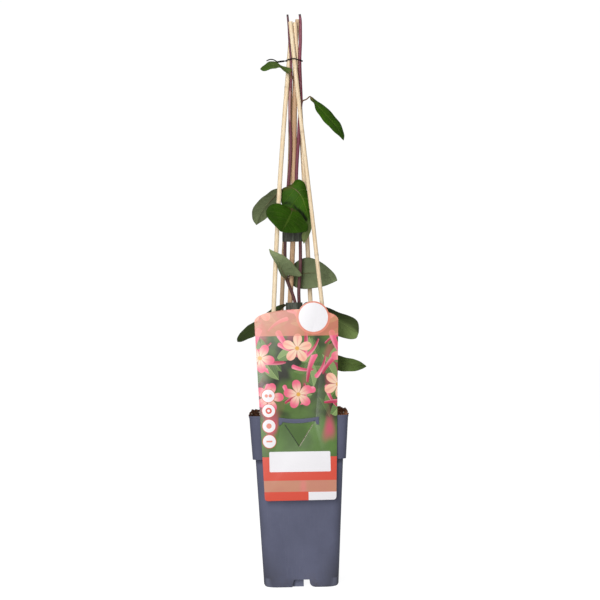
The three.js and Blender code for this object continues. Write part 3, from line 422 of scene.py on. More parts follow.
def leaf_skin(settings):
    """Green with pale veins above and greyer below. A leaf's own marks set how dull it is and its brightness,
    which is partly its own lightness and partly painted light and shade.
    """
    net = material_net("leaf_skin")
    where = net.place()
    across, along = net.parts(net.node("ShaderNodeUVMap", {"uv_map": "blade"}))[:2]
    side = across * 2.0 - 1.0
    out = abs(side)
    upper = net.attribute("upper").above(0.3, 0.7)
    tone = net.attribute("tone")
    midrib = out.above(0.075, 0.02)
    staggered = along - out * VEIN_SLANT + side.above(-0.01, 0.01) * 0.06
    phase = net.maths("FRACT", staggered * VEIN_COUNT)
    lateral = abs(phase - 0.5).above(0.06, 0.012) * out.above(1.0, 0.6)
    meshwork = net.cells(where, 0.42, "Distance", "DISTANCE_TO_EDGE").above(0.09, 0.0)
    patches = net.noise(where, 0.06, 4.0, 0.6)
    grain = net.noise(where, 0.9, 4.0, 0.65)
    cloudy = patches.above(0.3, 0.7)
    top = net.coats(
        net.mix(cloudy, scaled(settings.upper_side, 0.72), scaled(settings.upper_side, 1.2)),
        (grain.above(0.4, 0.8) * 0.25, srgb(82, 118, 38)),
        (meshwork * 0.12 + lateral * 0.28 + midrib * 0.34, srgb(118, 146, 58)),
        (net.attribute("dull"), srgb(96, 108, 66)),
    )
    below = net.coats(
        net.mix(cloudy, scaled(settings.under_side, 0.86), scaled(settings.under_side, 1.1)),
        (meshwork * 0.2 + grain.above(0.45, 0.8) * 0.2, srgb(98, 116, 74)),
        (lateral * 0.3, srgb(152, 158, 122)),
    )
    tint = net.coats(
        below,
        (upper, top),
        (out.above(0.93, 1.0) * 0.45, srgb(62, 62, 40)),
        (net.attribute("stalk"), srgb(112, 84, 62)),
    )
    # Painted light and shade, with the leaf's own lightness, scale the colour here.
    grey = net.node("ShaderNodeCombineColor", values={0: tone, 1: tone, 2: tone})
    tint = net.mix(1.0, tint, grey, "MULTIPLY")
    veins = (1.0 - upper) * lateral * 0.7 - upper * (lateral * 0.8 + midrib)
    height = patches * 0.6 + veins + grain * 0.25 - meshwork * 0.25
    return net.finish(tint, 0.62 - upper * 0.2 + grain * 0.12, height, 0.0004, Specular_IOR_Level=0.09)


def tape_film(settings):
    net = material_net("tape_film")
    folds = net.noise(net.place(), 1.0, 4.0, 0.6, stretch=(0.5, 0.5, 0.07))
    tint = net.mix(folds.above(0.45, 0.7), settings.tape, srgb(96, 102, 90))
    return net.finish(tint, 0.4 + folds * 0.2, folds, 0.0009, Specular_IOR_Level=0.35)


def wire_coat(settings):
    net = material_net("wire_coat")
    grain = net.noise(net.place(), 0.8, 3.0, 0.6)
    tint = net.mix(grain.above(0.5, 0.8) * 0.4, settings.wire, srgb(36, 34, 36))
    return net.finish(tint, 0.5 + grain * 0.2, grain, 0.00005, Specular_IOR_Level=0.1)


def floor_paint(settings):
    """Paint that shines white to the camera and lights the plant less than that."""
    net = material_net("floor_paint")
    grain = net.noise(net.place(), 0.01, 2.0, 0.5)
    tint = net.mix(grain * 0.02, scaled(settings.backdrop, 0.4), srgb(160, 160, 160))
    paint = partial(net.surface, tint, 0.9, Specular_IOR_Level=0.0, Emission_Color=settings.backdrop)
    coats = [paint(Emission_Strength=strength) for strength in (settings.floor_white, settings.floor_glow)]
    return net.close(net.for_camera(*coats))


def studio_air(settings):
    """Air that is white to the camera and lights the plant less than that."""
    net = Net(bpy.data.worlds.new("air"))
    glows = [
        net.node("ShaderNodeBackground", values={"Color": settings.backdrop, "Strength": strength})
        for strength in (settings.air_white, settings.air_glow)
    ]
    return net.close(net.for_camera(*glows), "ShaderNodeOutputWorld")


# ---------------------------------------------------------------- the label's print


def scattered(net, where, size, randomness, spin_range, foot):
    """A flat place that starts again, turned, at each of many scattered centres.

    Gives x, z, a random value and a mask of the centres that lie above foot.
    """
    centre, seeds = (
        net.cells(where, 1 / size, out, randomness=randomness, flat=True) for out in ("Position", "Color")
    )
    x, z = net.parts(net.node("ShaderNodeVectorMath", {"operation": "SUBTRACT"}, {0: where, 1: centre}))[:2]
    first, second = net.parts(seeds)[:2]
    spin = first * spin_range
    cosine, sine = net.maths("COSINE", spin), net.maths("SINE", spin)
    kept = net.parts(centre)[1].above(foot - 0.5, foot + 0.5)
    return x * cosine + z * sine, z * cosine - x * sine, second, kept


def printed_hedge(net, flat, z):
    """The blurred hedge behind the print, lighter low down, with a pink glow here and there."""
    low = z.above(214.0, 196.0)
    blur = net.noise(flat, 0.03, 2.0, 0.5)
    glow = net.noise(flat, 0.034, 1.0, 0.4, stretch=(1.0, 0.35, 1.0))
    return net.coats(
        net.mix(blur.above(0.36, 0.62), srgb(34, 36, 20), srgb(84, 114, 50)),
        (low * 0.55, srgb(98, 136, 66)),
        (glow.above(0.54, 0.66) * (0.5 + low * 0.4), srgb(206, 74, 108)),
    )


def printed_leaves(net, places, under, size, reach, broad, tint, spine):
    """Pointed leaves, reach long and broad wide from their middles, one to each size of the print."""
    u, v, second, kept = scattered(net, places, size, 0.75, 40.0, 206.0)
    body = 1.0 - (u / reach) * (u / reach) - abs(v / broad)
    ribs = net.maths("SINE", (abs(v) * 0.7 - u) * 2.6).above(0.2, 1.0) * 0.18
    paint = net.coats(
        net.mix(second, tint, scaled(tint, 0.5)),
        (v.above(-0.6, 0.6) * 0.4, spine),
        ((abs(v).above(0.5, 0.1) * 0.7).max(ribs), spine),
    )
    return net.mix(body.above(0.0, 0.05) * kept, under, paint)


def printed_buds(net, places, under, size, reach, thick, settings):
    """Bent buds, reach long from their middles, that widen to one end."""
    u, v, _, kept = scattered(net, places, size, 0.7, 55.0, 212.0)
    along = (u / reach).max(-1.0).min(1.0)
    bend = v + along * along * 2.0
    apart = net.distance(u - along * reach, bend) / (1.0 + along * 0.45)
    paint = net.coats(
        net.mix(along.above(-0.9, 1.0), srgb(176, 32, 70), settings.pink),
        ((bend + 0.4).above(0.0, thick) * 0.45, srgb(255, 176, 190)),
    )
    return net.mix(apart.above(thick + 0.25, thick - 0.15) * kept, under, paint)


def printed_blossoms(net, places, under, settings):
    """Open blossoms of five petals, pink or apricot."""
    u, v, second, kept = scattered(net, places, 43.0, 0.5, 30.0, 214.0)
    radius = net.distance(u, v)
    angle = net.maths("ARCTAN2", v, u)
    petal = abs(net.maths("COSINE", angle * 2.5))
    outline = (petal ** 0.6) * 13.5 + 3.5
    rim = net.mix(second.above(0.3, 0.7), settings.pink, srgb(250, 190, 164))
    stripes = net.maths("SINE", angle * 45.0).above(0.3, 1.0) * radius.above(14.0, 5.0)
    paint = net.coats(
        net.mix(radius.above(3.0, 15.0), settings.cream, rim),
        (petal.above(0.4, 0.05) * 0.7, srgb(190, 60, 84)),
        (petal.above(0.93, 1.0) * 0.35, srgb(226, 110, 120)),
        (stripes * 0.3, srgb(214, 96, 104)),
        (radius.above(2.8, 1.9), srgb(226, 168, 72)),
    )
    return net.mix((outline - radius).above(0.0, 0.5) * kept, under, paint)


def printed_flowers(net, x, z, settings):
    """An all-over print of blossoms, buds and leaves on a hedge."""
    flat = net.node("ShaderNodeCombineXYZ", values={0: x, 1: z, 2: 0.0})
    places = net.mix(0.94, net.noise(flat, 0.05, 2.0, 0.5, out="Color"), flat)
    picture = printed_hedge(net, flat, z)
    picture = printed_leaves(net, places, picture, 27.0, 13.0, 5.6, srgb(74, 104, 44), srgb(132, 160, 88))
    picture = printed_leaves(net, places, picture, 33.0, 17.0, 7.4, settings.foliage, srgb(166, 190, 120))
    for size, reach, thick in ((27.0, 12.0, 1.7), (34.0, 17.0, 2.5)):
        picture = printed_buds(net, places, picture, size, reach, thick, settings)
    return printed_blossoms(net, places, picture, settings)


LABEL_TILT = math.radians(0.5)
HOOK_HEIGHT = 204.2
LABEL_FRONT = (-61.0, -61.2)         # y: bare behind the first, printed before the second
BADGE = (20.6, 328.0)
ICON_X = -36.0
ICON_HEIGHTS = (234.0, 216.0, 197.6, 179.0)
BOX_MIDDLE = (0.3, 154.2)
BOX_HALF = (35.3, 10.7)
FLAP_POINT = 172.6
FLAP_SIDE = (0.843, 0.538)           # rise and run of the right side of the V-shaped cut


def label_print(settings):
    """The print on the label's front. across and z lean with the label."""
    net = material_net("label_print")
    where = net.place()
    x, y, z = net.parts(where)
    across = x + (z - HOOK_HEIGHT) * math.sin(LABEL_TILT)

    def band(value, low, high, soft=0.15):
        return value.between(low - soft, low + soft, high - soft, high + soft)

    def disc(middle_x, middle_z, radius, soft=0.2):
        return net.distance(across - middle_x, z - middle_z).above(radius + soft, radius - soft)

    picture = printed_flowers(net, across, z, settings)
    box = net.distance(
        (abs(across - BOX_MIDDLE[0]) - BOX_HALF[0]).max(0.0), (abs(z - BOX_MIDDLE[1]) - BOX_HALF[1]).max(0.0)
    )
    sun, ring, spot, bar = ICON_HEIGHTS
    coral = srgb(230, 140, 120)
    flap = abs(abs(across) * FLAP_SIDE[0] - (z - FLAP_POINT) * FLAP_SIDE[1])
    # Painted shadow along the left arm of the V-shaped cut, and a painted highlight along its right arm.
    cut = flap.above(0.75, 0.3) * z.between(172.0, 173.0, 198.5, 199.5)
    tint = net.coats(
        picture,
        (z.above(305.6, 306.2), net.mix(0.72, picture, settings.banner)),
        (z.above(160.4, 159.8), settings.panel),
        (box.above(1.7, 1.3), settings.paper),
        (band(z, 118.0, 131.6), net.mix(0.7, picture, srgb(232, 146, 130))),
        (band(z, 107.0, 117.6) * band(across, 9.7, 43.6), settings.paper),
        *((disc(ICON_X, height, 8.4), settings.panel) for height in ICON_HEIGHTS),
        *((disc(ICON_X, height, 7.7), settings.paper) for height in ICON_HEIGHTS),
        (disc(ICON_X, ring, 3.8), settings.panel),
        (disc(ICON_X, ring, 1.7), settings.paper),
        (disc(ICON_X, spot, 3.2), coral),
        (disc(ICON_X - 2.4, sun, 2.0).max(disc(ICON_X + 2.4, sun, 2.0)), coral),
        (band(z, bar - 1.0, bar + 1.0) * band(across, ICON_X - 3.6, ICON_X + 3.6), coral),
        (disc(*BADGE, 20.5), settings.banner),
        (disc(*BADGE, 17.6), settings.paper),
        # painted shadow, then painted highlight, along the cut
        (cut * across.above(0.4, -0.4) * 0.7, srgb(40, 44, 30)),
        (cut * across.above(-0.4, 0.4) * 0.5, srgb(236, 214, 200)),
    )
    tint = net.mix(y.above(*LABEL_FRONT), settings.paper, tint)
    scuff = net.noise(where, 0.4, 4.0, 0.6)
    return net.finish(tint, 0.3 + scuff.above(0.5, 0.8) * 0.15, scuff, 0.00002, Coat_Roughness=0.2)


# ---------------------------------------------------------------- shapes


def unit(vectors):
    return vectors / np.maximum(np.linalg.norm(vectors, axis=-1, keepdims=True), 1e-9)


def travelled(points):
    """How far each point lies from the first, along the line through them."""
    return np.concatenate([[0], np.cumsum(np.linalg.norm(np.diff(points, axis=0), axis=1))])


def spaced(points, count):
    """count evenly spaced points along the straight stretches between the given ones."""
    reach = travelled(points)
    stops = np.linspace(0, reach[-1], count)
    return np.stack([np.interp(stops, reach, axis) for axis in points.T], axis=1)


def flow(points, count):
    """count evenly spaced points along a smooth curve through the given ones."""
    knots = np.array(points, float)
    knots = np.vstack([2 * knots[0] - knots[1], knots, 2 * knots[-1] - knots[-2]])
    t = np.linspace(0, 1, 24, endpoint=False)[:, None]
    dense = []
    for before, here, there, after in zip(knots, knots[1:], knots[2:], knots[3:]):
        pairs = ((before, here), (here, there), (there, after))
        first, gap, last = (max(np.linalg.norm(b - a) ** 0.5, 1e-6) for a, b in pairs)
        leave = ((here - before) / first - (there - before) / (first + gap) + (there - here) / gap) * gap
        arrive = ((there - here) / gap - (after - here) / (gap + last) + (after - there) / last) * gap
        straight = (2 * t**3 - 3 * t**2 + 1) * here + (3 * t**2 - 2 * t**3) * there
        dense.append(straight + (t**3 - 2 * t**2 + t) * leave + (t**3 - t**2) * arrive)
    return spaced(np.vstack([*dense, knots[-2][None]]), count)


def ring_faces(rings, count):
    """Faces between each ring of count points and the next."""
    return [
        (ring * count + i, ring * count + j, (ring + 1) * count + j, (ring + 1) * count + i)
        for ring in range(rings - 1)
        for i, j in zip(range(count), (*range(1, count), 0))
    ]


def tube(centres, radii, sides):
    """The points and faces of a closed round bar along centres, which turns as little as it can."""
    ahead = unit(np.gradient(centres, axis=0))
    side = np.cross(ahead[0], (0.3, 0.9, 0.2))
    angles = np.arange(sides)[:, None] * 2 * math.pi / sides
    points = []
    for centre, forward, radius in zip(centres, ahead, radii):
        side = unit(side - forward * np.dot(side, forward))
        points.extend(centre + radius * (np.cos(angles) * side + np.sin(angles) * np.cross(forward, side)))
    last = (len(centres) - 1) * sides
    ends = [tuple(range(sides))[::-1], tuple(range(last, last + sides))]
    return points, ring_faces(len(centres), sides) + ends


def new_mesh(name, points, faces):
    """A smooth mesh from points in millimetres."""
    mesh = bpy.data.meshes.new(name)
    mesh.from_pydata([scaled(point, MM) for point in points], [], faces)
    mesh.shade_smooth()
    return mesh


def mark(mesh, name, values):
    """Keeps a number for each point of the mesh, for its material to read."""
    layer = mesh.attributes.new(name, "FLOAT", "POINT")
    layer.data.foreach_set("value", np.asarray(values, np.float32))


def crease(mesh, degrees):
    """Shades the edges that turn more than this as sharp ones."""
    mesh.set_sharp_from_angle(angle=math.radians(degrees))


def mesh_from(shape, name):
    """The shape as a mesh. The shape itself is freed."""
    mesh = bpy.data.meshes.new(name)
    shape.to_mesh(mesh)
    shape.free()
    return mesh


def add_piece(name, mesh, slot, *nodes, material=None):
    """Shows the mesh as a piece of the object, in place of the named nodes."""
    if material:
        mesh.materials.append(material)
    piece = bpy.data.objects.new(name, mesh)
    bpy.context.scene.collection.objects.link(piece)
    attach(piece, "root")
    if nodes:
        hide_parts(*nodes)


def eased_copy(node, width, sharpest):
    """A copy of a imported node's mesh with its flat faces joined and its sharp edges softened by width."""
    shape = bmesh.new()
    shape.from_mesh(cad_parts[node].data)
    bmesh.ops.remove_doubles(shape, verts=shape.verts, dist=2e-6)
    bmesh.ops.dissolve_limit(shape, angle_limit=math.radians(0.4), verts=shape.verts, edges=shape.edges)
    sharp = [
        edge for edge in shape.edges
        if len(edge.link_faces) == 2 and edge.calc_face_angle(0.0) > math.radians(sharpest)
    ]
    bmesh.ops.bevel(
        shape, geom=sharp, offset=width, segments=2, profile=0.6, affect="EDGES", clamp_overlap=True
    )
    mesh = mesh_from(shape, node)
    mesh.shade_smooth()
    crease(mesh, 35)
    return mesh


def rod_tree():
    """Round bars along paths of edges, as thick as their points say."""
    growth = Growth("rod")
    sides = growth.size("Sides", "NodeSocketInt", 16)
    material = growth.size("Material", "NodeSocketMaterial")
    thick = growth.node("GeometryNodeInputNamedAttribute", {"data_type": "FLOAT"}, {"Name": "thick"})
    path = growth.node("GeometryNodeMeshToCurve", values={"Mesh": growth.start.outputs["Geometry"]})
    ring = growth.node("GeometryNodeCurvePrimitiveCircle", values={"Resolution": sides, "Radius": 1.0})
    values = {"Curve": path, "Profile Curve": ring, "Scale": thick, "Fill Caps": True}
    bar = growth.node("GeometryNodeCurveToMesh", values=values)
    growth.end(growth.node("GeometryNodeSetShadeSmooth", values={"Geometry": bar}), material)
    return growth


def crumb_tree():
    """Crumbs strewn over a surface: lumps of many sizes, each turned and squashed at random."""
    growth = Growth("crumbs")
    density = growth.size("Density", "NodeSocketFloat", 1000.0)
    crumb = growth.size("Crumb", "NodeSocketFloat", 0.002)
    seed = growth.size("Seed", "NodeSocketInt", 7)
    material = growth.size("Material", "NodeSocketMaterial")

    def chance(kind, out, **values):
        return growth.node("FunctionNodeRandomValue", {"data_type": kind}, values, out)

    values = {"Mesh": growth.start.outputs["Geometry"], "Density": density, "Seed": seed}
    spots = growth.node("GeometryNodeDistributePointsOnFaces", values=values)
    lump = growth.node("GeometryNodeMeshIcoSphere", values={"Radius": 0.5, "Subdivisions": 2})
    turn = chance("FLOAT_VECTOR", 0, Max=(6.28, 6.28, 6.28), Seed=3)
    spin = growth.node("FunctionNodeEulerToRotation", values={0: turn})
    squash = chance("FLOAT_VECTOR", 0, Min=(0.35, 0.3, 0.25), Max=(1.5, 1.0, 0.8), Seed=5)
    scale = growth.node("ShaderNodeVectorMath", {"operation": "SCALE"}, {0: squash, "Scale": crumb})
    values = {"Points": spots, "Instance": lump, "Rotation": spin, "Scale": scale}
    strewn = growth.node("GeometryNodeInstanceOnPoints", values=values)
    settings = {"data_type": "FLOAT", "domain": "INSTANCE"}
    values = {"Geometry": strewn, "Name": "pale", "Value": chance("FLOAT", 1, Seed=11)}
    growth.end(growth.node("GeometryNodeStoreNamedAttribute", settings, values), material)
    return growth


def rod(growth, name, points, material, radius, spacing=2.0, sides=16, knots=(), swell=1.1, spread=2.5):
    """One bar of the rod tree. radius gives its radius at a height; knots are heights where it swells."""
    run = sum(math.dist(a, b) for a, b in zip(points, points[1:]))
    centres = flow(points, max(8, int(run / spacing)))
    heights = centres[:, 2]
    near = np.zeros(len(centres))
    for knot in knots:
        near = np.maximum(near, np.exp(-(((heights - knot) / spread) ** 2)))
    path = bpy.data.meshes.new(name)
    edges = [(i, i + 1) for i in range(len(centres) - 1)]
    path.from_pydata([scaled(centre, MM) for centre in centres], edges, [])
    mark(path, "thick", MM * np.array([radius(z) for z in heights]) * (1 + (swell - 1) * near))
    mark(path, "knot", near)
    return growth.run(name, path, Sides=sides, Material=material)


# ---------------------------------------------------------------- the plant's lines, in millimetres

CANE_RADIUS = {
    "cane_front_left": 2.8,
    "cane_front_right": 2.5,
    "cane_back_left": 2.7,
    "cane_back_right": 2.8,
    "cane_centre": 3.2,
}
CANE_TIP_RADIUS = 2.7
CANE_THINS = (560, 640)              # the heights between which a cane tapers to its tip's radius
CANES = {
    "cane_front_left": [(-37, -42, 95), (-35, -38, 205), (-28.5, -26.7, 340), (-20.2, -15.5, 475),
                        (-12, -7.2, 574), (-5.2, -1.4, 646), (-1, 3.4, 692)],
    "cane_front_right": [(41.2, -41, 95), (41.4, -38.4, 205), (23.2, -23.5, 422), (14.4, -17.2, 510),
                         (6.6, -11.6, 589), (1.4, -7.6, 646), (-2.7, -4.3, 693.5)],
    "cane_back_left": [(-30, 42, 60), (-27, 38, 205), (-19.1, 26, 345), (-15, 20.5, 415), (-11.4, 16.8, 460),
                       (-7.4, 13.6, 500), (-5.2, 11, 540), (-4.6, 8.8, 580), (-4.2, 6.8, 620),
                       (-3.6, 5.6, 651.5)],
    "cane_back_right": [(24.5, 43, 95), (22.2, 38, 205), (16.3, 23.9, 361), (10.1, 8.8, 529),
                        (7.4, 3.1, 595), (4.9, -1.4, 646), (2.9, -1.2, 693)],
    "cane_centre": [(-24, 3, 97), (-17, 2, 205), (-8.4, 0.2, 349), (-3.7, 0.6, 427), (-1.2, 1.8, 516),
                    (1, 3.1, 591), (1.7, 4.2, 618), (2.6, 4.2, 646), (6.2, 4.2, 697.5)],
}
# How brown each cane is, from 0, pale, to 1, brown: below the first of the heights, and above the second.
CANE_BROWN_BETWEEN = (600, 670)
CANE_BROWN = {
    "cane_front_left": (0.0, 0.15),
    "cane_front_right": (0.1, 0.0),
    "cane_back_left": (0.7, 0.8),
    "cane_back_right": (0.15, 0.05),
    "cane_centre": (0.9, 0.6),
}
CANE_KNOTS = {
    "cane_front_left": (268, 452, 612),
    "cane_front_right": (246, 404, 556),
    "cane_back_left": (262, 410, 560),
    "cane_back_right": (310, 470, 618),
    "cane_centre": (236, 398, 548),
}
STEMS = {
    "stem_left": [(1, 2, 165), (1, 1, 205), (2, 0, 262), (0.5, -2.4, 310), (-1.4, -3.9, 341),
                  (-5.5, -5.4, 357), (-12.3, -4.9, 376), (-13.8, -2.6, 403), (-13.2, -2, 427),
                  (-12.2, -2, 464), (-9, -2, 489), (-6, -2, 516), (-4.5, -2, 547), (-5.6, -2.2, 580),
                  (-4.7, -3.4, 603), (-2.6, -6.2, 624), (-2.7, -5.3, 646), (-4.2, -4.2, 666),
                  (-5.3, -0.6, 692), (-6.2, 0.6, 703)],
    "stem_right": [(9, 6, 165), (9, 5, 205), (7, 4, 262), (4.4, 1.4, 310), (2.9, 0.6, 341), (2.5, 0, 361),
                   (4.8, 0, 390), (5.2, -0.4, 427), (3.8, -1.5, 462), (1.8, -2.8, 497), (2.6, -2.6, 516),
                   (5, -1, 547), (6.6, -0.4, 572), (8.9, -2.2, 595), (8.5, -4.2, 620), (8.2, -5, 646),
                   (9.3, -3.6, 668), (9.7, -2.4, 684), (9.8, -1.6, 696), (8.9, -1.2, 703)],
}
STEM_FOOT_RADIUS = 2.1
STEM_TIP_RADIUS = {"stem_left": 1.25, "stem_right": 1.4}
STEM_TAPER = {"stem_left": 2, "stem_right": 30}
STEM_NODES = {
    "stem_left": {"top": 624, "upper": 487, "lower": 376, "base": 241},
    "stem_right": {"top": 595, "upper": 446, "lower": 326, "base": 268},
}

TAPED = ("stem_left", "stem_right", "cane_centre")
TAPE_WIDTH = 11.5
TAPE_FOOT = {"tie_tape_upper": 421.5, "tie_tape_lower": 334.5}
TAPE_CLEARANCE = 1.05
TAPE_FACES = (0.1, 0.55)             # how far the inner and the outer one lie from the tight outline
TAPE_LEVELS = 14
WIRED = (*STEMS, *CANES)
WIRE_RADIUS = 0.72
WIRE_HEIGHT = 645.5
WIRE_CLEARANCE = 1.2
WIRE_LIFT = 1.4                      # of its loop's front, over the canes
WIRE_HALF_X = 9.6                    # where one half of the wire meets the other
WIRE_TURNS = 2.5
WIRE_TWIST_RADIUS = 0.55
WIRE_TWIST_STEPS = 14
# The loose ends, from their tips: x, then how far before and above the twist's inner end.
WIRE_LONG_TAIL = ((-33, 3, -0.2), (-29, 3, 1.4), (-25, 3, 1.3), (-21.8, 2.6, -0.2))
WIRE_SHORT_TAIL = ((-22, 1, -2.6),)

# Half the width, the corner's radius and the height of each level of the compost's sides.
SOIL_SIDES = ((43.9, 13.3, 11.5), (51.2, 7.0, 158.4), (54.6, 6.9, 158.5), (57.7, 6.9, 205.5))
SOIL_HEAPS = ((-53, 42, 2.2, 6), (50, 44, 5, 7), (46, -10, 1.5, 16))  # x, y, rise and spread of each
SOIL_RINGS = 52
# Where loose crumbs lie on the right rim. The left is its mirror.
RIM_CRUMB_STRIP = ((57.2, -54), (59.4, -54), (59.4, 56), (57.2, 56))
RIM_CRUMB_HEIGHTS = (209.0, 209.6, 210.2)

BLADE_COLUMNS = 18
VEIN_COUNT = 8
VEIN_SLANT = 0.17                    # how far a side vein runs towards the tip, as a share of the blade
PILLOW_RISE = 0.05                   # of each half of a blade, as a share of its width
QUILT_DEPTH = 0.16
FRILL_DEPTH = 0.35
FRILL_WAVES = 26
STALK_START = 2.2                    # from the middle of the stem
STALK_FOOT_RADIUS = 1.15
STALK_RADIUS = 0.85
STALK_SIDES = 10
RIB_SHARE = 0.86                     # of the blade's length
RIB_RADIUS = 0.75
RIB_TIP_RADIUS = 0.12
BROWN_SHARE = 0.13                   # of the blade's length, next to its stalk
SHADE_REACH = (1.3, 2.6)             # from a line of shade: where it starts to fade, and where it ends
LEAVES = {}


def leaf(name, stem, node, via, **spec):
    """Notes a leaf that grows from a stem's node, with via on its stalk.

    midrib, left and right run from the blade's base to its tip. tone is its brightness at even steps
    from its left margin to its right one, and run from its base to its tip; both are partly the leaf's own
    lightness and partly painted light and shade. dull is how grey it is near its base and near its tip. shaded
    is a line under another leaf's margin, where painted shade darkens it.
    """
    plain = {"tone": (1.0, 1.0), "run": (1.0, 1.0), "dull": (0.0, 0.0), "shaded": None}
    LEAVES[name] = {**plain, "stem": stem, "node": node, "via": via, **spec}


leaf(
    "leaf_top_left", "stem_left", "top", (-3.1, -9, 625.7),
    midrib=[(-3.7, -10.5, 628.7), (-8.7, -12.5, 632.5), (-16, -15.5, 636.5), (-27.4, -18, 638.2),
            (-40.7, -21, 633.3)],
    left=[(-6.2, -13, 628.2), (-10.5, -17, 629.9), (-15.4, -20.5, 634.2), (-21.8, -25, 633.5),
          (-29.2, -26, 631.8), (-36.9, -24, 630.2)],
    right=[(-2.1, -9, 633.8), (-7.8, -7.5, 636.8), (-16.4, -9, 639.8), (-22.2, -9, 644),
           (-29.3, -9.5, 643.7), (-36.7, -14, 638.4)],
    tone=(1.1, 1.1), run=(1.1, 1.0), dull=(0.55, 0.25),
)
leaf(
    "leaf_top_right", "stem_right", "top", (15.7, -4, 597.3),
    midrib=[(20.3, -5, 600.6), (25.7, -6, 592.7), (35.2, -8, 581.6), (45.5, -9, 569.9), (54.5, -12, 557.8),
            (60.5, -16, 544.6)],
    left=[(22.8, -3, 600.1), (29.4, 1, 594.9), (39.1, 4, 589), (48.5, 4, 578.8), (55.4, 2, 570.2),
          (60, -3, 560), (61.6, -9, 551.2)],
    right=[(20.5, -7, 596.4), (24.4, -10, 591.8), (26.5, -14, 584), (32.7, -18, 573.2), (39.6, -20, 564.6),
           (47.7, -20, 556.3), (55.6, -18, 549.1)],
    tone=(0.82, 0.82, 0.92, 0.92), run=(1.3, 0.95),
)
leaf(
    "leaf_mid_left", "stem_left", "upper", (-11.7, 1.5, 486.9),
    midrib=[(-17, 2, 486.2), (-25.9, 4, 478.3), (-36, 5, 467.6), (-44.2, 5, 456), (-49, 3, 443.1)],
    left=[(-19.8, 1.5, 487.8), (-27.5, 0, 486.2), (-36.3, -2, 480.1), (-47.7, -3, 470.4), (-53.7, -2, 460.1),
          (-53.2, 0, 449.7)],
    right=[(-16.5, 4, 481.6), (-19.2, 9, 472.6), (-25.6, 12, 461.6), (-35.3, 12, 452.3), (-43.8, 8, 446.3)],
    tone=(1.0, 0.97), run=(0.62, 1.0),
)
leaf(
    "leaf_mid_arched", "stem_left", "upper", (-9.8, -6.2, 488.2),
    midrib=[(-10.6, -8.2, 488.6), (-6.6, -10.2, 488.4), (-2.7, -11.5, 487.2), (2.4, -12.5, 483.3),
            (7.3, -13, 477.3), (11.8, -12.5, 465.9), (14.8, -11.5, 452.4), (14.7, -10, 435.2),
            (9.6, -9, 418.5)],
    left=[(-9.6, -7.8, 490.2), (-4.1, -7, 492.2), (-0.1, -7, 496.5), (5.2, -7, 498), (11.7, -7.5, 493.5),
          (14.5, -8, 483.7), (16.7, -8, 472.4), (18.3, -7, 461.2), (19.2, -6.5, 448.8), (19.5, -7, 437.7),
          (16, -8, 428.4)],
    right=[(-14.2, -8, 488.2), (-17.4, -8.2, 484.6), (-18, -9, 477), (-17.2, -10.5, 468.5),
           (-12, -12, 462.5), (-5, -12, 457.5), (2.5, -12, 453.5), (8, -12.5, 449), (11, -13, 443.5),
           (10.6, -12.8, 436), (6.9, -12, 428.5)],
    tone=(0.85, 0.9, 0.94, 0.98, 1.0, 1.0, 1.0, 1.0, 0.9), run=(0.88, 0.9, 0.98, 1.15, 2.2), dull=(0.0, 1.0),
    shaded=[(-13, -10.8, 469), (-6, -11.5, 468), (1, -12.5, 462), (8, -13, 456), (13, -12.5, 448)],
)
leaf(
    "leaf_mid_front", "stem_right", "upper", (2.4, -12, 450.1),
    midrib=[(-4.1, -17.5, 461.5), (-4.9, -21, 457.2), (-7, -27.5, 451.4), (-10, -34, 445),
            (-13.8, -40, 438.1), (-18.1, -44, 432.4)],
    left=[(-0.7, -18, 460.2), (6.9, -20, 453.1), (13.2, -25, 444), (15.4, -29, 438.4), (13.6, -33, 433.1),
          (7.1, -37, 431.2), (-5.1, -42, 430.6), (-13.2, -44, 431.1)],
    right=[(-7.4, -17.5, 463), (-14.1, -21, 465.4), (-22.8, -24.5, 468), (-30.6, -27, 465.6),
           (-35.9, -31, 458.4), (-34.6, -35, 450.7), (-28.9, -39, 443.8), (-23.4, -42, 437.5)],
    tone=(0.68, 0.68), run=(1.0, 0.95),
)
leaf(
    "leaf_low_left", "stem_left", "lower", (-13.4, -9.4, 374.2),
    midrib=[(-13.1, -12.5, 375.1), (-16.6, -20, 383), (-20.7, -28, 391.6), (-26, -35, 401.3),
            (-32.8, -41, 411.5)],
    left=[(-10.2, -13, 379.7), (-4.4, -11.5, 378.8), (2.6, -10, 377.6), (6.2, -10, 379.1), (5, -11, 382.8),
          (-0.8, -16, 389.9), (-7.6, -22, 397.5), (-15.7, -29.5, 403.9), (-25, -37, 407.9)],
    right=[(-15.2, -14, 376), (-18.9, -20, 379.5), (-21.5, -27, 385.3), (-23.7, -31.5, 391.7),
           (-27.5, -36, 398.2), (-31.1, -40, 405)],
    tone=(0.92, 0.9), run=(0.95, 1.1, 1.8),
)
leaf(
    "leaf_low_right", "stem_left", "lower", (-12.7, 2.5, 377.1),
    midrib=[(-9.9, 7, 378.6), (-1.9, 8.5, 380.8), (8.1, 9.5, 381.9), (24.1, 11.5, 382.3),
            (37.9, 11.5, 378.9), (50.5, 10, 372.6)],
    left=[(-8.5, 7, 372.1), (-2.3, 8.5, 365.3), (8.4, 9.5, 362.6), (20.2, 11, 363.4), (32.9, 12, 365.4),
          (43, 11.5, 368.9)],
    right=[(-8, 7.5, 387.1), (-3, 8.5, 394.2), (5.8, 9.5, 400), (15, 10, 401.7), (23.3, 10, 399.6),
           (33.1, 9.5, 394.1), (43.8, 9, 384.9), (48.8, 9.3, 378.4)],
    tone=(0.93, 0.74), run=(0.95, 1.08),
)
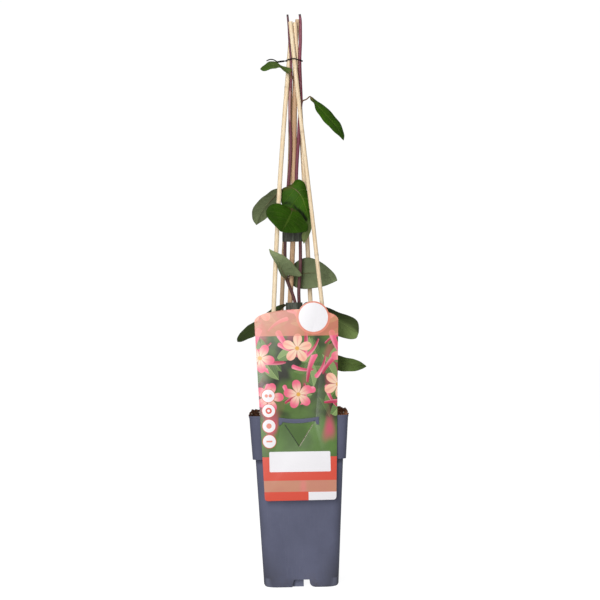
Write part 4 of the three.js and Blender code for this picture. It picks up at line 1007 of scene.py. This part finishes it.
leaf(
    "leaf_label_left", "stem_right", "lower", (-2.5, 8.5, 332),
    midrib=[(-13.1, 9, 343.2), (-20.6, 11.5, 340), (-32.7, 15, 332.3), (-46.7, 20, 321), (-62.3, 34, 308.4),
            (-76.5, 56, 297.3)],
    left=[(-15, 8, 341.3), (-22.5, 6.5, 335.7), (-32.6, 5, 325.9), (-42.8, 8, 314.8), (-53.8, 18, 304.6),
          (-64, 32, 300.4), (-71.6, 46, 297.1)],
    right=[(-16.2, 11, 344.4), (-25.9, 15, 341.4), (-37.7, 20, 334.3), (-46.7, 25, 327.9),
           (-55.6, 32, 321.8), (-63.9, 40, 316.5), (-72.5, 48, 308.5), (-77, 54, 300.7)],
    tone=(0.46, 0.46), run=(1.1, 1.0), dull=(0.7, 0.7),
)
leaf(
    "leaf_label_right", "stem_right", "lower", (9.6, 4.4, 330),
    midrib=[(8.2, 5.5, 343.4), (14.9, 4, 343.1), (25.9, 0, 336.8), (40.6, -4, 327.9), (56.4, -8, 318.5),
            (67.4, -10, 311.5), (75.4, -11, 307.1)],
    left=[(10.6, 8, 346), (16.8, 11, 346.4), (28.6, 12, 342.8), (37.4, 11, 339.3), (45.4, 9, 335.7),
          (54.5, 7, 332.1), (63.6, 4, 328.5), (70.9, 0, 325.4), (75, -4, 320.6), (76.1, -8, 313.2)],
    right=[(9.6, 4, 339.5), (14.7, -1, 331.4), (26.7, -8, 317.7), (38.9, -12, 308.3), (50.1, -14, 303.6),
           (59.2, -14, 300.9), (67.2, -13, 299.6), (72.8, -12, 301)],
    tone=(0.32, 0.32, 0.4, 0.86, 0.96, 1.0, 0.96), run=(0.8, 0.95, 1.15, 1.8), dull=(0.7, 0.8),
)
leaf(
    "leaf_side_right", "stem_right", "base", (13, 1.8, 270.5),
    midrib=[(20.1, 0, 281.7), (33.6, -4, 277.3), (49.4, -11, 272.3), (63.9, -21, 269.4), (75.7, -33, 267.9),
            (83, -47, 267.2)],
    left=[(26.4, 3, 284.9), (37.5, 1, 283.5), (49.5, -4, 280), (57.8, -10, 277.5), (66.7, -18, 275.9),
          (75.3, -29, 273.1), (80.9, -41, 269.4)],
    right=[(24.9, -3, 273.7), (37, -12, 265.2), (51.6, -22, 261.2), (61.5, -30, 260.6), (71.2, -37, 261.7),
           (78.5, -44, 264.2)],
    tone=(1.5, 1.7), run=(1.1, 0.92, 0.66), dull=(0.6, 0.6),
)
leaf(
    "leaf_back_right", "stem_right", "base", (8.6, 7.4, 270),
    midrib=[(12, 9, 272.5), (24, 14, 275.5), (38, 23, 274.5), (54, 38, 266)],
    left=[(16, 16, 274), (26.5, 27, 275.5), (41, 36, 271), (51, 41, 267.5)],
    right=[(18, 5.5, 273.5), (33, 8, 271.5), (49, 20, 264), (55, 33, 260.5)],
    tone=(0.8, 0.8),
)
leaf(
    "leaf_back_left", "stem_left", "base", (-1.4, 5, 244),
    midrib=[(-4, 8.5, 247), (-16, 13.5, 254), (-32, 20, 256), (-49, 26, 248)],
    left=[(-8, 7.5, 249.5), (-18, 7.5, 253), (-34, 9.5, 252), (-46, 19, 247)],
    right=[(-6, 14, 249.5), (-14, 21, 253.5), (-27, 27.5, 254), (-42, 30.5, 249)],
    tone=(0.9, 0.9),
)
leaf(
    "leaf_base_front", "stem_left", "base", (4.6, -4.4, 244),
    midrib=[(5, -7, 247), (11, -19, 251), (16, -33, 249), (19, -46, 240)],
    left=[(10, -8.5, 249), (21, -17, 250.5), (27, -29, 248), (25, -41, 242)],
    right=[(2.5, -12, 249.5), (1.5, -24, 251.5), (6, -37, 248), (13.5, -44.5, 242.5)],
    tone=(0.9, 0.9),
)


def at_height(points, z):
    centres = flow(points, 400)
    return np.array([np.interp(z, centres[:, 2], axis) for axis in centres.T])


def cane_radius(name, z):
    return float(np.interp(z, CANE_THINS, (CANE_RADIUS[name], CANE_TIP_RADIUS)))


def stem_radius(name, z):
    rise = min(max((z - SOIL_LEVEL) / (PLANT_HEIGHT - SOIL_LEVEL), 0.0), 1.0)
    return STEM_FOOT_RADIUS + (STEM_TIP_RADIUS[name] - STEM_FOOT_RADIUS) * rise ** STEM_TAPER[name]


# ---------------------------------------------------------------- leaves


def margin(spine, side, count):
    """A margin of a blade, from beside one end of its midrib to beside the other."""
    ends = []
    for at, nearby, towards in ((spine[0], spine[1], side[0]), (spine[-1], spine[-2], side[-1])):
        forward = unit(nearby - at)
        outward = np.array(towards, float) - at
        outward = unit(outward - forward * np.dot(outward, forward))
        ends.append(at + 0.35 * outward)
    return flow([ends[0], *side, ends[1]], count)


def facing(sheet):
    """Which way the upper side of each point of a sheet faces."""
    return unit(np.cross(np.gradient(sheet, axis=1), np.gradient(sheet, axis=0)))


def blade_sheet(spec, rows):
    """A blade's midrib, and its middle surface as rows of points from margin to margin."""
    spine = flow(spec["midrib"], rows + 1)
    edges = [margin(spine, spec[side], rows + 1) for side in ("left", "right")]
    across = np.linspace(-1, 1, BLADE_COLUMNS + 1)[None, :, None]
    along = np.linspace(0, 1, rows + 1)[:, None, None]
    share = np.abs(across)
    edge = np.where(across < 0, edges[0][:, None, :], edges[1][:, None, :])
    sheet = spine[:, None, :] * (1 - share) + edge * share
    half_width = np.linalg.norm(edge - spine[:, None, :], axis=2, keepdims=True)
    halfway_out = 4 * share * (1 - share)
    fade = np.sin(math.pi * along) ** 0.5
    pillow = PILLOW_RISE * half_width * halfway_out
    quilt = QUILT_DEPTH * np.cos(2 * math.pi * VEIN_COUNT * (along - VEIN_SLANT * share)) * halfway_out * fade
    frill = FRILL_DEPTH * np.sin(FRILL_WAVES * along + 3 * np.sign(across)) * share**4 * fade
    return spine, sheet + facing(sheet) * (pillow + quilt + frill)


def blade_faces(rows, columns):
    """Faces over the upper points of a blade, under the lower ones, and round its margin between them."""
    stride = columns + 1
    below = (rows + 1) * stride
    faces = []
    for row in range(rows):
        for a in range(row * stride, row * stride + columns):
            b, c, d = a + 1, a + stride + 1, a + stride
            faces += [(a, b, c, d), (below + a, below + d, below + c, below + b)]
    ends = [(a, a + 1) for a in range(columns)]
    ends += [(a + 1, a) for a in range(rows * stride, rows * stride + columns)]
    sides = [(a + stride, a) for a in range(0, rows * stride, stride)]
    sides += [(a, a + stride) for a in range(columns, rows * stride + columns, stride)]
    faces += [(b, a, below + a, below + b) for a, b in ends + sides]
    return faces


def stalk_bar(spec, spine, rib, rows):
    """A leaf's stalk and the rib it becomes: centres, radii, how far the rib has run, and how brown it is."""
    grows = at_height(STEMS[spec["stem"]], STEM_NODES[spec["stem"]][spec["node"]])
    via = np.array(spec["via"], float)
    start = grows + unit(via - grows) * STALK_START
    joint = spine[0] * 0.98 + rib[0] * 0.02
    path = flow([start, via, joint, *rib[2 : int(RIB_SHARE * rows) + 1 : 4]], 60)
    run = travelled(path)
    neck = run[np.argmin(np.linalg.norm(path - spine[0], axis=1))]
    rib_run = np.clip((run - neck) / (run[-1] - neck), 0, 1)
    on_stalk = run < neck
    rib_radii = RIB_RADIUS * (1 - rib_run) ** 0.8 + RIB_TIP_RADIUS
    radii = np.where(on_stalk, STALK_RADIUS - 0.1 * run / neck, rib_radii)
    radii[0] = STALK_FOOT_RADIUS
    return path, radii, rib_run, np.where(on_stalk, 1.0, 0.75 * (1 - rib_run))


def leaf_mesh(name, spec, settings):
    """A blade with a rib under it and a stalk, marked for the leaf's material."""
    rows = settings.rows
    spine, sheet = blade_sheet(spec, rows)
    share = np.abs(np.linspace(-1, 1, BLADE_COLUMNS + 1))[None, :, None]
    normal = facing(sheet)
    thickness = 0.5 * settings.blade / MM * (1 - 0.55 * share**4)
    half = BLADE_COLUMNS // 2
    rib = spine - normal[:, half] * (thickness[0, half] + 0.1)
    path, radii, rib_run, brownness = stalk_bar(spec, spine, rib, rows)
    bar, bar_faces = tube(path, radii, STALK_SIDES)

    upper, lower = ((sheet + way * normal * thickness).reshape(-1, 3) for way in (1, -1))
    points = np.vstack([upper, lower, bar])
    blade_count = 2 * len(upper)
    faces = blade_faces(rows, BLADE_COLUMNS)
    faces += [tuple(blade_count + i for i in face) for face in bar_faces]

    across, along = np.meshgrid(np.linspace(0, 1, BLADE_COLUMNS + 1), np.linspace(0, 1, rows + 1))
    across = np.concatenate([across.ravel(), across.ravel(), np.full(len(bar), 0.5)])
    along = np.concatenate([along.ravel(), along.ravel(), np.repeat(rib_run, STALK_SIDES)])
    stalk = np.clip(1 - along / BROWN_SHARE, 0, 1) ** 0.8 * 0.7
    stalk[blade_count:] = np.repeat(brownness, STALK_SIDES)
    # Brightness across and along the blade: partly the leaf's own lightness, partly painted light and shade.
    tone = np.interp(across, np.linspace(0, 1, len(spec["tone"])), spec["tone"])
    tone *= np.interp(along, np.linspace(0.15, 0.85, len(spec["run"])), spec["run"])
    # Painted shade along the line under the other leaf's margin.
    if spec["shaded"]:
        apart = np.linalg.norm(points[:, None, :] - flow(spec["shaded"], 80)[None, :, :], axis=2).min(axis=1)
        tone *= np.interp(apart, SHADE_REACH, (0.1, 1.0))

    mesh = new_mesh(name, points, faces)
    mark(mesh, "upper", np.arange(len(points)) < len(upper))
    mark(mesh, "stalk", stalk)
    mark(mesh, "tone", tone)
    mark(mesh, "dull", np.interp(along, (0.6, 0.75), spec["dull"]))
    corners = np.empty(len(mesh.loops), np.int32)
    mesh.loops.foreach_get("vertex_index", corners)
    places = np.stack([across, along], axis=1).astype(np.float32)
    mesh.uv_layers.new(name="blade").data.foreach_set("uv", places[corners].ravel())
    crease(mesh, 60)
    return mesh


# ---------------------------------------------------------------- compost and ties


def soil_height(x, y):
    heaps = sum(
        rise * math.exp(-((x - heap_x) ** 2 + (y - heap_y) ** 2) / (2 * spread**2))
        for heap_x, heap_y, rise, spread in SOIL_HEAPS
    )
    rolling = 0.8 * math.sin(0.61 * x + 0.37 * y) * math.cos(0.53 * y - 0.29 * x)
    lumps = 1.3 * noise.fractal(Vector((x * 0.11, y * 0.11, 3.0)), 0.7, 2.1, 5)
    return SOIL_LEVEL + heaps + rolling + lumps


def rounded_square(half, corner, z, steps=6, fill=24):
    """The outline of a square with round corners: steps round each corner, fill points along each side."""
    inset = half - corner
    quarter = []
    for step in range(steps + 1):
        angle = step / steps * math.pi / 2
        quarter.append((inset + corner * math.cos(angle), inset + corner * math.sin(angle)))
    quarter += [(inset * (1 - 2 * step / (fill + 1)), half) for step in range(1, fill + 1)]
    turns = [(math.cos(turn * math.pi / 2), math.sin(turn * math.pi / 2)) for turn in range(4)]
    return [(x * cosine - y * sine, x * sine + y * cosine, z) for cosine, sine in turns for x, y in quarter]


def stacked(outlines):
    """The points and faces of a closed body skinned over a stack of outlines, from the bottom up."""
    count = len(outlines[0])
    points = [point for outline in outlines for point in outline]
    faces = ring_faces(len(outlines), count)
    for ring, way in ((0, -1), (len(outlines) - 1, 1)):
        middle = len(points)
        points.append(tuple(np.mean(outlines[ring], axis=0)))
        rim = range(ring * count, ring * count + count)
        faces += [(middle, *(a, b)[::way]) for a, b in zip(rim, (*rim[1:], rim[0]))]
    return points, faces


def compost_meshes():
    """The body of compost, and what crumbs lie on: its upper part and a few layers over the side rims."""
    outlines = [rounded_square(*level) for level in SOIL_SIDES]
    edge = outlines[-1]
    for ring in range(SOIL_RINGS, 0, -1):
        scale = 0.995 * ring / SOIL_RINGS
        outlines.append([(x * scale, y * scale, soil_height(x * scale, y * scale)) for x, y, _ in edge])
    points, faces = stacked(outlines)
    whole = new_mesh("soil", points, faces)
    mark(whole, "pale", np.zeros(len(points)))
    first_up = (len(SOIL_SIDES) + 1) * len(edge)
    top = [face for face in faces if min(face) >= first_up and max(face) < len(points) - 2]
    for side in (-1, 1):
        for z in RIM_CRUMB_HEIGHTS:
            top.append(tuple(range(len(points), len(points) + 4)))
            points += [(side * x, y, z) for x, y in RIM_CRUMB_STRIP]
    return whole, new_mesh("soil_top", points, top)


def wrap_outline(members, z, clearance):
    """The tight outline round canes and stems at one height."""
    rim = []
    for name in members:
        x, y = at_height({**STEMS, **CANES}[name], z)[:2]
        reach = (stem_radius if name in STEMS else cane_radius)(name, z) + clearance
        angles = [i / 48 * 2 * math.pi for i in range(48)]
        rim += [(x + reach * math.cos(angle), y + reach * math.sin(angle)) for angle in angles]
    rim.sort()

    def half_hull(ordered):
        hull = []
        for point in ordered:
            while len(hull) > 1:
                (ax, ay), (bx, by) = hull[-2:]
                if (bx - ax) * (point[1] - by) - (by - ay) * (point[0] - bx) > 1e-9:
                    break
                hull.pop()
            hull.append(point)
        return hull[:-1]

    hull = half_hull(rim) + half_hull(rim[::-1])
    return spaced(np.array([*hull, hull[0]]), 121)[:-1]


def tape_mesh(name, foot):
    """A band of tape with soft folds, a little fuller at half its width."""
    inner = wrap_outline(TAPED, foot + TAPE_WIDTH / 2, TAPE_CLEARANCE)
    outward = unit(inner - inner.mean(axis=0))
    count = len(inner)
    points = []
    for level in range(TAPE_LEVELS + 1):
        up = level / TAPE_LEVELS
        belly = 0.12 * math.sin(math.pi * up)
        for i in range(count):
            fold = 0.14 * math.sin(i * 0.61 + 2.2 * up) + 0.1 * math.sin(i * 1.7 - 3.1 * up)
            x, y = inner[i] + outward[i] * (TAPE_FACES[1] + belly + fold)
            points.append((x, y, foot + TAPE_WIDTH * up + 0.12 * math.sin(i * 0.37)))
    inside = len(points)
    for z in (foot, foot + TAPE_WIDTH):
        points += [(x, y, z) for x, y in inner + outward * TAPE_FACES[0]]
    faces = ring_faces(TAPE_LEVELS + 1, count)
    top = TAPE_LEVELS * count
    for i in range(count):
        j = (i + 1) % count
        faces.append((inside + j, inside + i, inside + count + i, inside + count + j))
        faces.append((j, i, inside + i, inside + j))
        faces.append((top + i, top + j, inside + count + j, inside + count + i))
    mesh = new_mesh(name, points, faces)
    crease(mesh, 50)
    return mesh


def wire_paths():
    """The two halves of the wire: round the canes, through the twist, and out to their own ends."""
    around = wrap_outline(WIRED, WIRE_HEIGHT, WIRE_CLEARANCE)
    around = np.roll(around, -int(np.argmin(around[:, 0])), axis=0)

    def drape(point):
        lift = WIRE_LIFT * math.cos((point[0] + 1) / 5.2) if point[1] < 0 else 0.0
        return (point[0], point[1], WIRE_HEIGHT + lift)

    half = int(np.argmax(around[:, 0] > WIRE_HALF_X))
    front = [drape(point) for point in around[: half + 5 : 3]]
    back = [drape(point) for point in around[half::3][::-1]]
    neck = np.array((around[0][0] - 2.4, around[0][1] - 1.2, WIRE_HEIGHT - 0.4))
    twist_end = np.array((-19.5, neck[1] - 2, WIRE_HEIGHT - 1.7))

    def strand(phase, tail, loop):
        twist = []
        for i in range(WIRE_TWIST_STEPS + 1):
            along = i / WIRE_TWIST_STEPS
            angle = phase + along * WIRE_TURNS * 2 * math.pi
            aside = np.array((0, math.cos(angle), math.sin(angle))) * WIRE_TWIST_RADIUS
            twist.append(tuple(twist_end + (neck - twist_end) * along + aside))
        return [*((x, neck[1] - y, WIRE_HEIGHT + z) for x, y, z in tail), *twist, *loop]

    return strand(0.0, WIRE_LONG_TAIL, front), strand(math.pi, WIRE_SHORT_TAIL, back)


# ---------------------------------------------------------------- studio


def add_object(scene, name, data, place=(0, 0, 0), turn=Quaternion()):
    thing = bpy.data.objects.new(name, data)
    thing.location = place
    thing.rotation_mode = "QUATERNION"
    thing.rotation_quaternion = turn
    scene.collection.objects.link(thing)
    return thing


def add_camera(scene, settings):
    lens = bpy.data.cameras.new("camera")
    lens.lens = settings.focal_length
    lens.sensor_width = 36.0
    lens.clip_end = 50.0
    place = (settings.camera_aside, -settings.camera_distance, settings.camera_height)
    turn = Euler((math.radians(90), 0, 0)).to_quaternion() @ Quaternion((0, 0, 1), settings.camera_roll)
    scene.camera = add_object(scene, "camera", lens, place, turn)


def add_floor(scene, settings):
    reach = settings.floor_reach
    floor = bpy.data.meshes.new("floor")
    corners = [(-reach, -reach, 0), (reach, -reach, 0), (reach, reach, 0), (-reach, reach, 0)]
    floor.from_pydata(corners, [], [(0, 1, 2, 3)])
    floor.materials.append(floor_paint(settings))
    add_object(scene, "floor", floor)


def add_lamp(scene, name, place, width, power):
    """A tall soft light that faces the middle of the plant."""
    lamp = bpy.data.lights.new(name, "AREA")
    lamp.shape = "RECTANGLE"
    lamp.size = width
    lamp.size_y = 2.0
    lamp.energy = power
    aim = Vector((0, 0, 0.35)) - Vector(place)
    add_object(scene, name, lamp, place, aim.to_track_quat("-Z", "Y"))


# ---------------------------------------------------------------- operators


def the_settings(context):
    scene = context.scene
    return scene.honeysuckle_studio, scene.honeysuckle_pot, scene.honeysuckle_plant, scene.honeysuckle_label


class BuildStudio(bpy.types.Operator):
    """Sets up the level camera, the pale floor and the soft lights"""

    bl_idname = "honeysuckle.build_studio"
    bl_label = "Studio"

    def execute(self, context):
        settings = the_settings(context)[0]
        scene = context.scene
        add_camera(scene, settings)
        add_floor(scene, settings)
        add_lamp(scene, "key_light", (-0.6, -2.3, 1.1), 0.7, settings.key_power)
        add_lamp(scene, "fill_light", (1.2, -2.0, 0.9), 1.0, settings.fill_power)
        scene.world = studio_air(settings)
        scene.view_settings.view_transform = "Standard"
        return {"FINISHED"}


class BuildPot(bpy.types.Operator):
    """Dresses the pot with soft edges and moulded plastic"""

    bl_idname = "honeysuckle.build_pot"
    bl_label = "Pot"

    def execute(self, context):
        settings = the_settings(context)[1]
        mesh = eased_copy("pot", settings.edge, 38)
        add_piece("moulded_pot", mesh, "pot", "pot", material=pot_plastic(settings))
        return {"FINISHED"}


class BuildCompost(bpy.types.Operator):
    """Fills the pot with compost and strews crumbs over it"""

    bl_idname = "honeysuckle.build_compost"
    bl_label = "Compost"

    def execute(self, context):
        settings = the_settings(context)[1]
        material = compost(settings)
        whole, top = compost_meshes()
        add_piece("compost", whole, "soil", "soil", material=material)
        sizes = {"Density": settings.crumbs, "Crumb": 2 * settings.crumb, "Seed": 7, "Material": material}
        add_piece("compost_crumbs", crumb_tree().run("crumbs", top, **sizes), "soil")
        return {"FINISHED"}


class BuildCanes(bpy.types.Operator):
    """Grows the five bamboo canes"""

    bl_idname = "honeysuckle.build_canes"
    bl_label = "Canes"

    def execute(self, context):
        material = bamboo(the_settings(context)[2])
        growth = rod_tree()
        for name, points in CANES.items():
            radius = partial(cane_radius, name)
            mesh = rod(growth, name, points, material, radius, knots=CANE_KNOTS[name], swell=1.07, spread=1.6)
            heights = [vertex.co.z / MM for vertex in mesh.vertices]
            mark(mesh, "cane_brown", np.interp(heights, CANE_BROWN_BETWEEN, CANE_BROWN[name]))
            crease(mesh, 50)
            add_piece("bamboo_" + name, mesh, "cane", name)
        return {"FINISHED"}


class BuildStems(bpy.types.Operator):
    """Grows the two twining stems with their swollen nodes"""

    bl_idname = "honeysuckle.build_stems"
    bl_label = "Stems"

    def execute(self, context):
        material = bark(the_settings(context)[2])
        growth = rod_tree()
        for name, points in STEMS.items():
            mesh = rod(
                growth, name, points, material, partial(stem_radius, name), spacing=1.2, sides=14,
                knots=STEM_NODES[name].values(), swell=1.3, spread=2.0,
            )
            crease(mesh, 50)
            add_piece("bark_" + name, mesh, "stem", name)
        return {"FINISHED"}


class BuildTies(bpy.types.Operator):
    """Wraps the tape and the twisted wire"""

    bl_idname = "honeysuckle.build_ties"
    bl_label = "Ties"

    def execute(self, context):
        settings = the_settings(context)[2]
        film = tape_film(settings)
        for name, foot in TAPE_FOOT.items():
            add_piece("film_" + name, tape_mesh(name, foot), "tape", name, material=film)
        coat = wire_coat(settings)
        growth = rod_tree()
        joined = bmesh.new()
        for points in wire_paths():
            joined.from_mesh(rod(growth, "wire", points, coat, lambda z: WIRE_RADIUS, spacing=0.5, sides=10))
        add_piece("twisted_wire", mesh_from(joined, "wire"), "wire", "wire_tie", material=coat)
        return {"FINISHED"}


class BuildLabel(bpy.types.Operator):
    """Prints the hanging label"""

    bl_idname = "honeysuckle.build_label"
    bl_label = "Label"

    def execute(self, context):
        settings = the_settings(context)[3]
        mesh = eased_copy("plant_label", settings.edge, 50)
        add_piece("printed_label", mesh, "label", "plant_label", material=label_print(settings))
        return {"FINISHED"}


class BuildLeaves(bpy.types.Operator):
    """Grows the leaves with their stalks and veins"""

    bl_idname = "honeysuckle.build_leaves"
    bl_label = "Leaves"

    def execute(self, context):
        settings = the_settings(context)[2]
        skin = leaf_skin(settings)
        for name, spec in LEAVES.items():
            add_piece("veined_" + name, leaf_mesh(name, spec, settings), "leaf", name, material=skin)
        return {"FINISHED"}


class HoneysucklePanel(bpy.types.Panel):
    """Lists the steps that build the potted honeysuckle"""

    bl_idname = "VIEW3D_PT_honeysuckle"
    bl_label = "Honeysuckle"
    bl_space_type = "VIEW_3D"
    bl_region_type = "UI"
    bl_category = "Honeysuckle"

    def draw(self, context):
        for group, steps in zip(the_settings(context), PANEL_STEPS):
            box = self.layout.box()
            for name in group.bl_rna.properties.keys():
                if name not in ("rna_type", "name"):
                    box.prop(group, name)
            for step in steps:
                box.operator(step.bl_idname)


SETTINGS = {
    "honeysuckle_studio": StudioSettings,
    "honeysuckle_pot": PotSettings,
    "honeysuckle_plant": PlantSettings,
    "honeysuckle_label": LabelSettings,
}
PANEL_STEPS = (
    (BuildStudio,), (BuildPot, BuildCompost), (BuildCanes, BuildStems, BuildTies, BuildLeaves), (BuildLabel,)
)
STEPS = tuple(step for steps in PANEL_STEPS for step in steps)
CLASSES = (*SETTINGS.values(), *STEPS, HoneysucklePanel)


def register():
    for cls in CLASSES:
        bpy.utils.register_class(cls)
    for name, group in SETTINGS.items():
        setattr(bpy.types.Scene, name, PointerProperty(type=group))


def unregister():
    for name in SETTINGS:
        delattr(bpy.types.Scene, name)
    for cls in reversed(CLASSES):
        bpy.utils.unregister_class(cls)


def main():
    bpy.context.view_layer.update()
    register()
    for step in STEPS:
        area, action = step.bl_idname.split(".")
        getattr(getattr(bpy.ops, area), action)()


if __name__ == "__main__":
    main()
